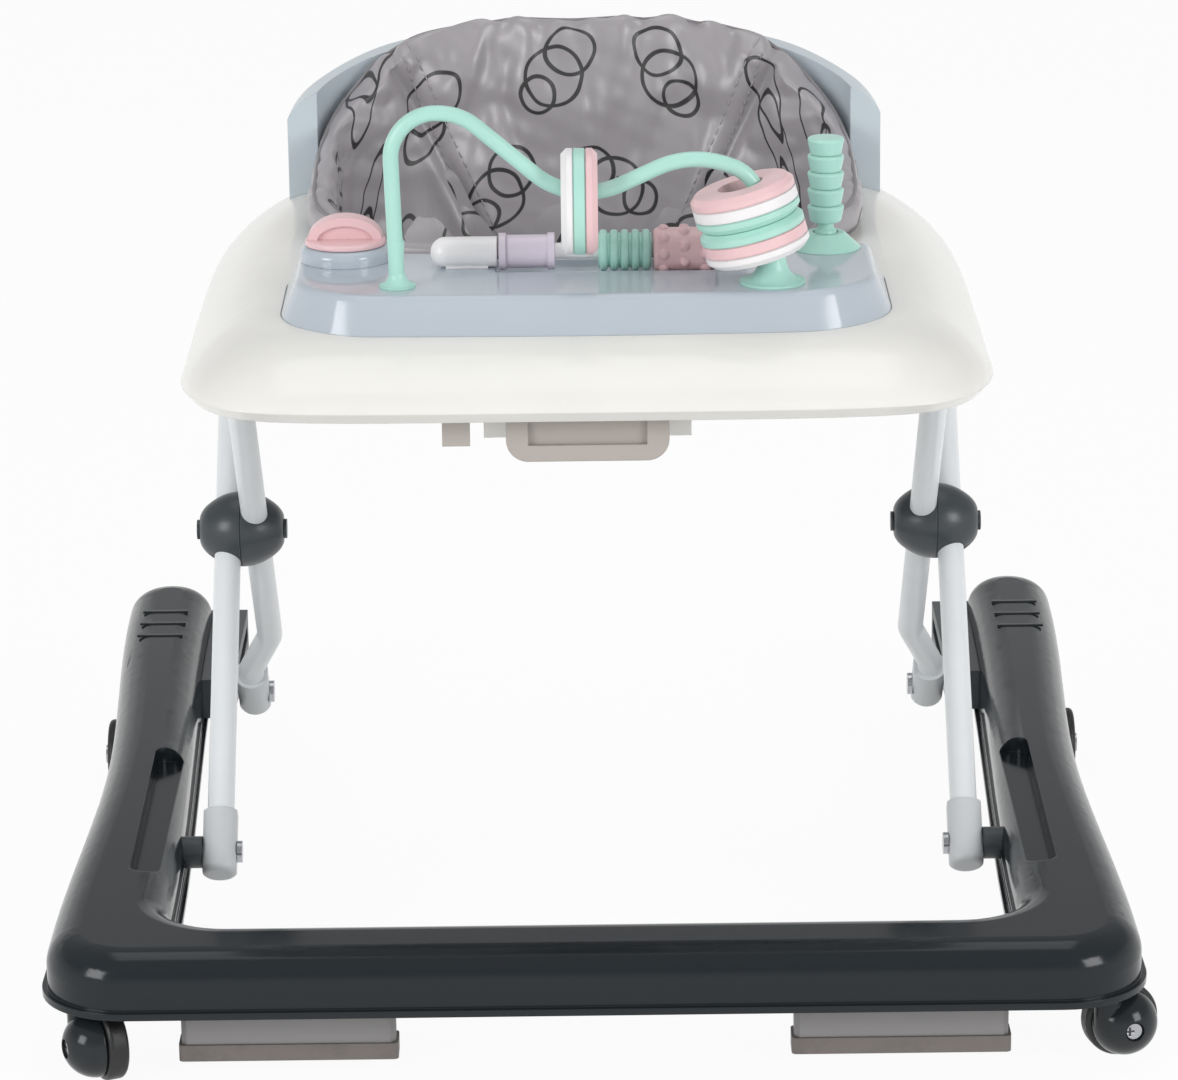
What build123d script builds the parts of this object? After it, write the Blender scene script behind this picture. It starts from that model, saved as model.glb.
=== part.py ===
from build123d import *
import math
import os

# Frame: millimetres, +Z up, front towards -Y, floor at Z = 0, origin under the middle of the base.

# Base shell
base_length = 670.0
base_front_width = 620.0
base_waist_draw = 9.0
base_waist_y = -10.0
base_rear_width = 624.0
base_lip_z = 44.0
base_lip_height = 4.0
base_lip_reach = 3.0
base_wall = 3.0
base_front_top_z = 79.0
base_rear_top_z = 96.0
base_edge_radius = 19.0
front_bar_depth = 65.0
front_corner_radius = 50.0
inner_corner_radius = 33.0
inner_front_width = 476.0
inner_rear_width = 502.0

# Grip ridges on the rear ends and ribs along the inner walls
ridge_count = 3
ridge_pitch = 24.0
ridge_rear_margin = 73.0
ridge_size = (30.0, 3.0, 1.4)
rib_levels = (50.0, 55.0, 60.0)
rib_reach = 1.5
rib_height = 1.6
rib_front_margin = 103.0
rib_rear_margin = 207.0

# Scooped pocket along the inner top edge of each arm
pocket_length = 205.0
pocket_width = 17.0
pocket_middle_x = 259.0
pocket_front_margin = 134.5
pocket_depth = 10.0
pocket_wall = 2.5

# Stoppers under the front bar
stopper_length = 120.0
stopper_middle_x = 171.5
stopper_front_margin = 38.0
stopper_holder_depth = 17.0
stopper_top_z = 48.0
stopper_strip_depth = 20.0
stopper_strip_height = 9.5
stopper_floor_gap = 8.0
stopper_edge = 3.0
stopper_block_margin = 6.0

# Front casters
caster_side_margin = 23.0
caster_front_margin = 32.0
caster_trail = 11.0
caster_wheel_radius = 21.5
caster_wheel_width = 12.0
caster_wheel_middle = -11.0
caster_hood_radius = 19.0
caster_hood_face = -4.0
caster_stem_radius = 4.0
caster_stem_top_z = 68.0
caster_collar_radius = 8.0
caster_collar_top_z = 42.5
caster_socket_radius = 9.0
caster_axle_radius = 3.0
caster_screw_radius = 5.5
caster_screw_height = 1.6
caster_screw_depth = 3.0
caster_wheel_edge = 3.0
caster_dish = (14.5, 2.5)
caster_washer_radius = 5.5
caster_washer = (-0.4, 2.0)
caster_stem_low = 27.5
left_caster_heading = 205.0
right_caster_heading = -75.0

# Rear wheels
rear_wheel_radius = 22.5
rear_wheel_width = 13.0
rear_wheel_stand_out = 2.0
rear_wheel_edge = 3.0
rear_wheel_dish = (8.0, 16.5, 2.0)
rear_wheel_margin = 153.0
rear_axle_radius = 3.0
rear_axle_head_radius = 6.0
rear_axle_head_height = 2.0
rear_bracket_width = 13.0
rear_bracket_length = 28.0
wheel_arch_gap = 2.5
wheel_side_gap = 1.0

# Scissor legs
leg_pivot_y = -117.0
leg_pivot_z = 63.0
leg_angle = 45.7
leg_lower_length = 216.5
leg_upper_length = 218.0
tube_radius = 8.0
tube_wall = 1.4
outer_leg_x = 221.0
inner_leg_x = 204.0
inner_foot_x = 219.0
outer_bend_radius = 105.0
inner_bend_radius = 55.0
foot_bend_radius = 26.0
foot_bend_start = 32.0
foot_bend_end = 78.0
tube_start = 5.0
crossbar_run = 8.0
cap_radius = 11.0
cap_flat = 10.0
cap_bottom = 15.0
cap_top = 25.0
cap_edge = 4.0
fold_range = 35.0

# Pivots
pivot_bolt_radius = 4.0
pivot_head_radius = 6.5
pivot_head_height = 3.0
pivot_spacer_radius = 9.5
pivot_bolt_tail = 6.0
pivot_bore_end_x = 271.0
slide_pin_radius = 5.0
slide_pin_end_x = 244.0
slide_head_radius = 7.0
joint_half_width = 27.5
joint_radius = 23.0
joint_pin_radius = 4.0
joint_head_radius = 6.0
joint_head_depth = 2.0
joint_bulge_share = 0.7
joint_leg_reach = 60.0

# Slide rails on the inner walls
rail_face_x = 231.5
rail_depth_x = 264.0
rail_front_margin = 15.0
rail_rear_margin = 14.0
rail_half_height = 13.0

# Tray
tray_half_width = 223.0
tray_front_y = -333.5
tray_wide_y = -155.0
tray_rear_y = 214.0
tray_front_power = 6.2
tray_rear_power = 4.0
tray_bottom_z = 382.4
tray_wall = 3.0
tray_side_share = 0.85
tray_rear_share = 0.8
tray_height = 35.6
tray_rim_inset = 5.0
tray_rim_rise = 6.0
tray_shoulder = 60.0
tray_shoulder_power = 0.7
tray_steps = 7
tray_ceiling = 26.6
tray_skirt_bottom_z = 391.0
outline_points = 24
tray_points = 36
tray_trace = 1440
tray_seam = 4

# Seat opening
opening_half_width = 158.0
opening_half_length = 112.0
opening_middle_y = 15.0
opening_power = 3.0

# Toy panel
panel_half_width = 168.5
panel_front_y = -281.0
panel_bow = 5.0
panel_side_rear_y = -142.0
panel_middle_rear_y = -165.0
panel_seat_z = 412.0
panel_top_z = 438.0
panel_wall = 4.0
panel_skirt = 6.0
panel_draw = 9.0
panel_front_corner = 56.0
panel_rear_corner = 14.0
panel_edge_radius = 5.0

# Backrest and seat
rest_middle_y = 20.0
rest_half_width = 183.0
rest_half_length = 147.0
rest_power = 3.6
rest_front_y = 84.0
rest_shoulder_z = 480.0
rest_middle_z = 500.0
rest_shoulder_x = 160.0
rest_corner_z = 450.0
pad_half_width = 165.0
pad_half_length = 122.0
pad_power = 4.0
pad_thickness = 13.0
pad_top_z = 518.0
pad_front_y = -82.0
pad_seam_x = 84.0
pad_seam_width = 5.0
pad_seam_reach = 20.0
pad_crown = ((145.0, 476.0), (80.0, 512.0))
pad_slope = (70.0, 462.0)
pad_slope_run = 30.0
pad_front_height = 4.0
sling_flange_z = 418.3
sling_flange_height = 6.0
sling_flange_reach = 5.0
sling_gap = 1.5
sling_wall = 4.0
sling_profile = ((110.0, 58.0), (88.0, 26.0), (54.0, 8.0), (0.0, 0.0))
leg_hole_radius = 46.0
leg_hole_x = 62.0
leg_hole_y = -14.0
leg_hole_depth = 60.0

# Height lock under the tray
rack_inner_x = 43.0
rack_thickness = 14.0
rack_bottom_z = 355.0
rack_front_margin = 9.0
rack_rear_margin = 8.0
rack_notch_count = 3
rack_notch_pitch = 30.0
rack_notch_lift = 3.0
ledge_reach = 8.0
ledge_height = 4.0
tongue_z = 392.0
tongue_height = 4.0
tongue_rear_y = -176.0
handle_half_width = 44.0
handle_front_y = -313.0
handle_rear_y = -268.0
handle_bottom_z = 356.0
handle_top_z = 383.0
handle_wall = 3.0
handle_corner = 12.0
handle_front_wall = 6.0
handle_window = (12.0, 9.0)
spring_radius = 4.0
spring_wire = 0.7
spring_turns = 7
spring_lug_y = -142.0
spring_lug_size = (16.0, 6.0)
spring_lug_drop = 4.0
clip_x = -71.0
clip_y = -306.0
clip_size = (15.0, 6.0)
clip_bottom_z = 364.0
bracket_x = 62.0
bracket_width = 20.0
bracket_half_length = 12.5
bracket_bottom_z = 363.0
screw_radius = 3.5
screw_height = 2.0

# Bead wire and discs
wire_radius = 4.3
wire_y = -248.0
wire_points = ((-103.0, 438.0), (-106.0, 537.0), (-66.0, 533.0), (-6.0, 482.0), (58.0, 511.0))
wire_leg_top = (91.0, 499.0)
wire_leg_low_z = 446.0
wire_radii = (25.0, 30.0, 44.0, 50.0, 22.0)
left_foot = (-103.0, 10.0, 26.0, 4.3)
right_foot = (102.0, 18.0, 18.0, 7.0)
foot_edge = 1.5
disc_radius = 29.0
disc_hole_radius = 12.5
disc_thickness = 20.0
disc_bevel = 3.0
disc_groove = 0.7
swing_disc_x = -3.0
swing_disc_z = 484.5
stack_lean = 15.0
stack_low_z = 463.5

# Roller bar
roller_y = -203.0
roller_z = 446.5
bar_radius = 8.5
bar_left_x = -86.0
bar_right_x = 91.0
core_radius = 4.5
core_left_x = -49.0
core_right_x = 73.0
trough_radius = 16.5
trough_wall = 3.0
bar_foot_share = 0.6
bar_foot_margin = 5.0
bobbin_span = (-48.0, -17.0)
bobbin_radius = 9.2
bobbin_flange = (10.3, 4.0)
ribbed_span = (7.0, 36.5)
ribbed_radius = 9.6
ribbed_rib_radius = 11.5
ribbed_count = 5
ribbed_gap = 1.6
ribbed_round = 1.6
bumpy_span = (37.5, 72.0)
bumpy_radius = 12.4
bumpy_rows = 3
bumpy_around = 8
bump_radius = 3.4
bump_sink = 1.4
bumpy_edge = 3.0

# Dial and lever
dial_x = -134.0
dial_y = -181.0
dial_boss_radius = 25.5
dial_boss_height = 9.0
dial_radius = 22.5
dial_height = 3.0
dial_grip_height = 14.0
dial_grip_width = 12.0
dial_recess = (15.5, 8.5, 2.0)
dial_spindle_radius = 4.0
dial_spindle_depth = 8.0
dial_boss_edge = 5.0
dial_edge = 1.5
lever_x = 135.0
lever_y = -166.0
lever_pivot_z = 445.0
lever_ball_radius = 6.5
lever_socket_radius = 20.0
lever_socket_height = 9.0
lever_neck_radius = 4.5
lever_first_z = 453.0
lever_segments = 5
lever_segment_height = 9.6
lever_waist_radius = 8.6
lever_rim_radius = 10.6
lever_edge = 1.5
lever_socket_wall = 4.0
lever_mouth_gap = 2.5

# Clearances
run_gap = 0.06
face_gap = 0.3
joint_gap = 0.3
tray_gap = 0.3
ball_gap = 0.4
overcut = 1.0

half_length = base_length / 2
base_waist_width = base_front_width - 2 * base_waist_draw
ridge_last_y = half_length - ridge_rear_margin
rib_front_y = rib_front_margin - half_length
rib_rear_y = half_length - rib_rear_margin
pocket_middle_y = pocket_front_margin + pocket_length / 2 - half_length
stopper_middle_y = stopper_front_margin - half_length
caster_x = base_front_width / 2 - caster_side_margin
caster_y = caster_front_margin - half_length
rear_wheel_face_x = base_rear_width / 2 + rear_wheel_stand_out
rear_wheel_y = half_length - rear_wheel_margin
leg_y = math.cos(math.radians(leg_angle))
leg_z = math.sin(math.radians(leg_angle))
leg_length = leg_lower_length + leg_upper_length
joint_y = leg_pivot_y + leg_lower_length * leg_y
joint_z = leg_pivot_z + leg_lower_length * leg_z
joint_x = (outer_leg_x + inner_leg_x) / 2
inner_foot_y = leg_pivot_y + 2 * leg_lower_length * leg_y
top_z = leg_pivot_z + leg_length * leg_z
outer_top_y = leg_pivot_y + leg_length * leg_y
inner_top_y = joint_y - leg_upper_length * leg_y
folded_y = math.cos(math.radians(leg_angle - fold_range))
folded_foot_y = leg_pivot_y + 2 * leg_lower_length * folded_y
folded_top_y = outer_top_y - 2 * leg_upper_length * folded_y
stopper_strip_top_z = stopper_floor_gap + stopper_strip_height
stack_x = math.sin(math.radians(stack_lean))
stack_z = math.cos(math.radians(stack_lean))


def box_between(low, high):
    """Box from its low corner to its high corner."""
    size = [b - a for a, b in zip(low, high)]
    middle = [(a + b) / 2 for a, b in zip(low, high)]
    return Pos(*middle) * Box(*size)


def rod_x(radius, x0, x1, y, z):
    """Cylinder along X from x0 to x1."""
    return Pos((x0 + x1) / 2, y, z) * Rot(0, 90, 0) * Cylinder(radius, abs(x1 - x0))


def rod_z(radius, z0, z1, x, y):
    """Upright cylinder from z0 to z1."""
    return Pos(x, y, (z0 + z1) / 2) * Cylinder(radius, z1 - z0)


def side_solid(face, x0, x1):
    """Solid with a side-view outline, drawn as (y, z), from x0 to x1."""
    return Pos(x0, 0, 0) * extrude(Plane.YZ * face, amount=x1 - x0)


def other_side(shape):
    """Mirror image of a right-hand piece."""
    return mirror(shape, about=Plane.YZ)


def both_sides(shape):
    """A right-hand piece together with its mirror image."""
    return [shape, other_side(shape)]


def base_outline(inset, inner_inset=None):
    """Plan of the U-shaped base, drawn in by inset all round."""
    inner = inset if inner_inset is None else inner_inset
    front_x = base_front_width / 2 - inset
    waist_x = base_waist_width / 2 - inset
    rear_x = base_rear_width / 2 - inset
    inner_front_x = inner_front_width / 2 + inner
    inner_rear_x = inner_rear_width / 2 + inner
    front_y = -half_length + inset
    bar_y = -half_length + front_bar_depth - inner
    corner = front_corner_radius - inset
    inner_corner = inner_corner_radius + inner
    end_radius = (rear_x - inner_rear_x) / 2
    end_y = half_length - inset - end_radius
    slant = math.sqrt(0.5)
    corner_mid = (front_x - corner * (1 - slant), front_y + corner * (1 - slant))
    inner_mid = (inner_front_x - inner_corner * (1 - slant), bar_y + inner_corner * (1 - slant))
    right = [
        Line((0, front_y), (front_x - corner, front_y)),
        ThreePointArc((front_x - corner, front_y), corner_mid, (front_x, front_y + corner)),
        Spline((front_x, front_y + corner), (waist_x, base_waist_y), (rear_x, end_y),
               tangents=[(0, 1), (0, 1)]),
        ThreePointArc((rear_x, end_y), (rear_x - end_radius, end_y + end_radius), (inner_rear_x, end_y)),
        Spline((inner_rear_x, end_y), (inner_front_x, bar_y + inner_corner), tangents=[(0, -1), (0, -1)]),
        ThreePointArc((inner_front_x, bar_y + inner_corner), inner_mid,
                      (inner_front_x - inner_corner, bar_y)),
        Line((inner_front_x - inner_corner, bar_y), (0, bar_y)),
    ]
    return make_face(Curve() + right + [mirror(edge, about=Plane.YZ) for edge in right])


def base_top(y):
    """Height of the base's sloping top at a place along its length."""
    share = (y + half_length) / base_length
    return base_front_top_z + share * (base_rear_top_z - base_front_top_z)


def base_block(inset, drop, edge_radius):
    """Solid under the sloping top of the base, with its top edges rounded."""
    plan = extrude(Pos(0, 0, base_lip_z) * base_outline(inset), amount=base_rear_top_z)
    slope = make_face(Polyline(
        (-base_length, base_lip_z),
        (base_length, base_lip_z),
        (base_length, base_top(base_length) - drop),
        (-base_length, base_top(-base_length) - drop),
        close=True,
    ))
    block = plan & side_solid(slope, -base_length, base_length)
    top = block.faces().sort_by(Axis.Z)[-1]
    return fillet(top.edges(), edge_radius)


def above_slope(depth):
    """Space from a depth under the base's sloping top upwards."""
    face = make_face(Polyline(
        (-base_length, base_top(-base_length) - depth),
        (base_length, base_top(base_length) - depth),
        (base_length, 2 * base_rear_top_z),
        (-base_length, 2 * base_rear_top_z),
        close=True,
    ))
    return side_solid(face, -base_length, base_length)


def pocket_room(grow):
    """Long rounded scoop in the right arm's top, grown all round."""
    plan = Pos(pocket_middle_x, pocket_middle_y) * Rot(0, 0, 90) * SlotOverall(
        pocket_length + 2 * grow, pocket_width + 2 * grow)
    return extrude(plan, amount=2 * base_rear_top_z) & above_slope(pocket_depth + grow)


def base_parts():
    """Shell of the base with what is moulded on it, and the outer block that neighbours seat on."""
    block = base_block(base_lip_reach, 0, base_edge_radius)
    hollow = base_block(base_lip_reach + base_wall, base_wall, base_edge_radius - base_wall)
    shell = block - hollow
    lip = base_outline(0) - base_outline(base_lip_reach + base_wall)
    shell += extrude(Pos(0, 0, base_lip_z) * lip, amount=base_lip_height)
    rib_plan = base_outline(base_lip_reach, base_lip_reach - rib_reach) - base_outline(base_lip_reach)
    rib_room = box_between((-base_length, rib_front_y, 0), (base_length, rib_rear_y, base_rear_top_z))
    rib_room -= rod_x(pivot_spacer_radius + overcut, -base_length, base_length, leg_pivot_y, leg_pivot_z)
    for level in rib_levels:
        shell += extrude(Pos(0, 0, level) * rib_plan, amount=rib_height) & rib_room
    axle_z = rear_wheel_radius
    bracket_outer_x = rear_wheel_face_x - rear_wheel_width - wheel_side_gap
    for side in (1, -1):
        pocket_block = pocket_room(pocket_wall) + (above_slope(pocket_depth + pocket_wall) & box_between(
            (inner_front_width / 2, pocket_middle_y - pocket_length / 2, 0),
            (pocket_middle_x, pocket_middle_y + pocket_length / 2, base_rear_top_z)))
        pocket = pocket_room(0)
        socket = rod_z(caster_socket_radius, base_lip_z, base_rear_top_z, caster_x, caster_y)
        stop_half = stopper_length / 2 - stopper_block_margin
        stop_block = box_between(
            (stopper_middle_x - stop_half, stopper_middle_y - stopper_holder_depth / 2, stopper_top_z),
            (stopper_middle_x + stop_half, stopper_middle_y + stopper_holder_depth / 2, base_rear_top_z))
        wheel_bracket = box_between(
            (bracket_outer_x - rear_bracket_width, rear_wheel_y - rear_bracket_length / 2, base_lip_z),
            (bracket_outer_x, rear_wheel_y + rear_bracket_length / 2, base_rear_top_z))
        inside = (pocket_block + socket + stop_block + wheel_bracket) & block
        hanger = box_between(
            (bracket_outer_x - rear_bracket_width, rear_wheel_y - rear_bracket_length / 2, axle_z),
            (bracket_outer_x, rear_wheel_y + rear_bracket_length / 2, base_lip_z + overcut))
        hanger += rod_x(rear_bracket_length / 2, bracket_outer_x - rear_bracket_width, bracket_outer_x,
                        rear_wheel_y, axle_z)
        ridges = [
            Pos((base_rear_width + inner_rear_width) / 4, ridge_last_y - k * ridge_pitch,
                base_top(ridge_last_y - k * ridge_pitch)) * Box(*ridge_size)
            for k in range(ridge_count)
        ]
        added = inside + hanger + ridges
        arch = rod_x(rear_wheel_radius + wheel_arch_gap, bracket_outer_x + wheel_side_gap / 2,
                     base_rear_width, rear_wheel_y, axle_z)
        cut = pocket + arch
        cut += rod_z(caster_stem_radius + run_gap, 0, caster_stem_top_z + overcut, caster_x, caster_y)
        cut += rod_x(rear_axle_radius, 0, base_rear_width, rear_wheel_y, axle_z)
        cut += rod_x(pivot_bolt_radius, 0, pivot_bore_end_x, leg_pivot_y, leg_pivot_z)
        if side < 0:
            added = other_side(added)
            cut = other_side(cut)
        shell = shell + added - cut
    return shell, block


def stopper_parts():
    """Right-hand stopper: rigid holder and the rubber strip under it."""
    half_depth = stopper_holder_depth / 2
    holder = box_between(
        (stopper_middle_x - stopper_length / 2, stopper_middle_y - half_depth, stopper_strip_top_z),
        (stopper_middle_x + stopper_length / 2, stopper_middle_y + half_depth, stopper_top_z))
    holder = chamfer(holder.edges().filter_by(Axis.Z), stopper_edge)
    strip_half = (stopper_length + stopper_strip_depth - stopper_holder_depth) / 2
    strip = box_between(
        (stopper_middle_x - strip_half, stopper_middle_y - stopper_strip_depth / 2, stopper_floor_gap),
        (stopper_middle_x + strip_half, stopper_middle_y + stopper_strip_depth / 2, stopper_strip_top_z))
    strip = fillet(strip.edges().filter_by(Axis.Z), stopper_edge)
    return holder, strip


def caster_parts(side, heading):
    """Hood, stem, axle and wheel of one caster. The axle lies along the caster's own X."""
    place = Pos(side * caster_x, caster_y, 0) * Rot(0, 0, heading)
    axle_z = caster_wheel_radius
    wheel_low = caster_wheel_middle - caster_wheel_width / 2
    wheel_high = caster_wheel_middle + caster_wheel_width / 2
    wheel = rod_x(caster_wheel_radius, wheel_low, wheel_high, caster_trail, axle_z)
    wheel = fillet(wheel.edges(), caster_wheel_edge)
    dish = rod_x(caster_dish[0], wheel_low, wheel_low + caster_dish[1], caster_trail, axle_z)
    wheel = wheel - dish - rod_x(caster_axle_radius + run_gap, wheel_low, wheel_high, caster_trail, axle_z)
    dome = Pos(caster_hood_face, caster_trail, axle_z) * Sphere(caster_hood_radius)
    dome = dome & box_between((caster_hood_face, -base_length, 0), (base_length, base_length, base_length))
    collar = rod_z(caster_collar_radius, axle_z, caster_collar_top_z, 0, 0)
    keep_out = rod_x(caster_wheel_radius + wheel_side_gap, wheel_low - wheel_side_gap,
                     wheel_high + wheel_side_gap, caster_trail, axle_z)
    hood = dome + (collar - keep_out)
    stem = rod_z(caster_stem_radius, caster_stem_low, caster_stem_top_z, 0, 0)
    screw_face = caster_hood_face + math.sqrt(caster_hood_radius ** 2 - caster_screw_radius ** 2)
    screw_face -= caster_screw_depth
    washer_low = wheel_low + caster_washer[0]
    washer_high = wheel_low + caster_washer[1]
    axle = rod_x(caster_axle_radius, washer_low, screw_face, caster_trail, axle_z)
    axle += rod_x(caster_screw_radius - overcut, screw_face, screw_face + caster_screw_height,
                  caster_trail, axle_z)
    axle += rod_x(caster_washer_radius, washer_low, washer_high, caster_trail, axle_z)
    wheel -= rod_x(caster_washer_radius + face_gap, washer_low, washer_high + face_gap, caster_trail, axle_z)
    axle_bore = rod_x(caster_axle_radius, wheel_low, screw_face, caster_trail, axle_z)
    hood = hood - stem - axle_bore
    hood -= rod_x(caster_screw_radius, screw_face, screw_face + caster_hood_radius, caster_trail, axle_z)
    stem = stem - axle_bore
    return [place * piece for piece in (hood, stem, axle, wheel)]


def rear_wheel_parts():
    """Right rear wheel and its axle."""
    axle_z = rear_wheel_radius
    inner_x = rear_wheel_face_x - rear_wheel_width
    wheel = rod_x(rear_wheel_radius, inner_x, rear_wheel_face_x, rear_wheel_y, axle_z)
    wheel = fillet(wheel.edges(), rear_wheel_edge)
    dish_inner, dish_outer, dish_depth = rear_wheel_dish
    for x in (inner_x, rear_wheel_face_x):
        wheel -= (rod_x(dish_outer, x - dish_depth, x + dish_depth, rear_wheel_y, axle_z)
                  - rod_x(dish_inner, x - dish_depth, x + dish_depth, rear_wheel_y, axle_z))
    wheel -= rod_x(rear_axle_radius + run_gap, inner_x, rear_wheel_face_x, rear_wheel_y, axle_z)
    head_x = rear_wheel_face_x + face_gap
    axle_end_x = inner_x - wheel_side_gap - rear_bracket_width
    axle = rod_x(rear_axle_radius, axle_end_x, head_x, rear_wheel_y, axle_z)
    axle += rod_x(rear_axle_head_radius, head_x, head_x + rear_axle_head_height, rear_wheel_y, axle_z)
    return wheel, axle


def along_outer(x, distance):
    """Point on an outer leg's line, at a distance from its foot pivot."""
    return (x, leg_pivot_y + distance * leg_y, leg_pivot_z + distance * leg_z)


def along_inner(x, distance):
    """Point on an inner leg's line, at a distance from its foot pivot."""
    return (x, inner_foot_y - distance * leg_y, leg_pivot_z + distance * leg_z)


def swept_tube(path, start, direction):
    """Hollow tube along a path."""
    section = Plane(origin=start, z_dir=direction) * (Circle(tube_radius) - Circle(tube_radius - tube_wall))
    return sweep(section, path=path)


def leg_rod(radius, point_at, x, low, high):
    """Solid rod along a leg's line."""
    start = Vector(*point_at(x, low))
    end = Vector(*point_at(x, high))
    middle = (start + end) / 2
    line = Plane(origin=middle, z_dir=(end - start).normalized())
    return line * Cylinder(radius, high - low)


def crossbar(half, y):
    """Straight tube under the tray, along X."""
    bar = rod_x(tube_radius, -half, half, y, top_z)
    return bar - rod_x(tube_radius - tube_wall, -half, half, y, top_z)


def foot_cap(point_at, x, bore_radius, top):
    """Moulded foot cap with flat sides, on the end of a leg."""
    cap = leg_rod(cap_radius, point_at, x, -cap_bottom, top)
    ends = cap.edges().filter_by(GeomType.CIRCLE).sort_by(Axis.Z)
    cap = fillet(ends[0], cap_edge)
    cap = cap & box_between((x - cap_flat, -base_length, 0), (x + cap_flat, base_length, 2 * top_z))
    cap -= leg_rod(tube_radius, point_at, x, tube_start, top + overcut)
    pivot_y = point_at(x, 0)[1]
    return cap - rod_x(bore_radius, x - 2 * cap_flat, x + 2 * cap_flat, pivot_y, leg_pivot_z)


def joint_half(facing):
    """One half of the round cover at the scissor joint, facing +1 outward or -1 inward."""
    shift = joint_gap / 2
    rim = joint_radius * math.sqrt(1 - (shift / joint_half_width) ** 2)
    tip = joint_half_width - joint_head_depth
    waist = joint_radius * math.sqrt(1 - (tip / joint_half_width) ** 2)
    bulge_x = joint_half_width * joint_bulge_share
    bulge = joint_radius * math.sqrt(1 - joint_bulge_share ** 2)
    profile = make_face(Curve() + [
        Line((shift, 0), (shift, rim)),
        Spline((shift, rim), (bulge_x, bulge), (tip, waist), tangents=[(1, 0), (0.35, -1)]),
        Line((tip, waist), (tip, 0)),
        Line((tip, 0), (shift, 0)),
    ])
    half = revolve(profile, axis=Axis.X, revolution_arc=360)
    if facing < 0:
        half = mirror(half, about=Plane.YZ)
    return Pos(joint_x, joint_y, joint_z) * half


def outer_leg_parts():
    """Right-hand pieces of the outer leg frame, its crossbar and its joint pin."""
    bend_end_x = outer_leg_x - outer_bend_radius
    run_end_x = bend_end_x - crossbar_run
    path = FilletPolyline(
        along_outer(outer_leg_x, tube_start),
        along_outer(outer_leg_x, leg_length),
        along_outer(run_end_x, leg_length),
        radius=outer_bend_radius)
    leg = swept_tube(path, along_outer(outer_leg_x, tube_start), (0, leg_y, leg_z))
    pin_low = joint_x - joint_half_width
    pin_high = joint_x + joint_half_width
    pin_hole = rod_x(joint_pin_radius, pin_low, pin_high, joint_y, joint_z)
    leg -= pin_hole
    cap = foot_cap(along_outer, outer_leg_x, pivot_bolt_radius + run_gap, cap_top)
    half = joint_half(1)
    half -= leg_rod(tube_radius, along_outer, outer_leg_x, leg_lower_length - joint_leg_reach,
                    leg_lower_length + joint_leg_reach)
    half -= pin_hole
    head_low = pin_low + joint_head_depth - run_gap
    head_high = pin_high - joint_head_depth
    pin = rod_x(joint_pin_radius, head_low, head_high, joint_y, joint_z)
    pin += rod_x(joint_head_radius, head_high, pin_high, joint_y, joint_z)
    pin += rod_x(joint_head_radius, pin_low, head_low, joint_y, joint_z)
    return leg, crossbar(run_end_x, outer_top_y), cap, half, pin


def inner_leg_parts():
    """Right-hand pieces of the inner leg frame, its crossbar and its slide pin."""
    run_end_x = inner_leg_x - inner_bend_radius - crossbar_run
    path = FilletPolyline(
        along_inner(inner_foot_x, tube_start),
        along_inner(inner_foot_x, foot_bend_start),
        along_inner(inner_leg_x, foot_bend_end),
        along_inner(inner_leg_x, leg_length),
        along_inner(run_end_x, leg_length),
        radius=[foot_bend_radius, foot_bend_radius, inner_bend_radius])
    leg = swept_tube(path, along_inner(inner_foot_x, tube_start), (0, -leg_y, leg_z))
    pin_low = joint_x - joint_half_width
    pin_high = joint_x + joint_half_width
    pin_hole = rod_x(joint_pin_radius + run_gap, pin_low, pin_high, joint_y, joint_z)
    leg -= pin_hole
    cap = foot_cap(along_inner, inner_foot_x, slide_pin_radius, cap_top)
    half = joint_half(-1)
    half -= leg_rod(tube_radius, along_inner, inner_leg_x, leg_lower_length - joint_leg_reach,
                    leg_lower_length + joint_leg_reach)
    half -= pin_hole
    inner_face = inner_foot_x - cap_flat
    slide_pin = rod_x(slide_pin_radius, inner_face, slide_pin_end_x, inner_foot_y, leg_pivot_z)
    head_end = inner_face - pivot_head_height
    slide_pin += rod_x(slide_head_radius, head_end, inner_face, inner_foot_y, leg_pivot_z)
    return leg, crossbar(run_end_x, inner_top_y), cap, half, slide_pin


def front_pivot_parts(block):
    """Right front pivot: spacer on the inner wall and the bolt that carries the outer leg."""
    spacer_low = outer_leg_x + cap_flat + face_gap
    spacer = rod_x(pivot_spacer_radius, spacer_low, inner_rear_width / 2, leg_pivot_y, leg_pivot_z) - block
    spacer = spacer - rod_x(pivot_bolt_radius, 0, base_front_width, leg_pivot_y, leg_pivot_z)
    spacer = spacer.solids().sort_by(Axis.X)[0]
    head_high = outer_leg_x - cap_flat - face_gap
    bolt_end = inner_front_width / 2 + base_lip_reach + base_wall + pivot_bolt_tail
    bolt = rod_x(pivot_bolt_radius, head_high, bolt_end, leg_pivot_y, leg_pivot_z)
    bolt += rod_x(pivot_head_radius, head_high - pivot_head_height, head_high, leg_pivot_y, leg_pivot_z)
    return spacer, bolt


def slide_rail(block):
    """Right slide rail: slotted channel on the inner wall that guides the inner leg's pin."""
    low_y = inner_foot_y - rail_front_margin
    high_y = folded_foot_y + rail_rear_margin
    rail = box_between(
        (rail_face_x, low_y, leg_pivot_z - rail_half_height),
        (rail_depth_x, high_y, leg_pivot_z + rail_half_height)) - block
    rail = rail.solids().sort_by(Axis.X)[0]
    slot_radius = slide_pin_radius + run_gap
    slot_length = folded_foot_y - inner_foot_y + 2 * slot_radius
    slot_middle = (folded_foot_y + inner_foot_y) / 2
    slot = Pos(slot_middle, leg_pivot_z) * SlotOverall(slot_length, 2 * slot_radius)
    return rail - side_solid(slot, 0, slide_pin_end_x + overcut)


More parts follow.
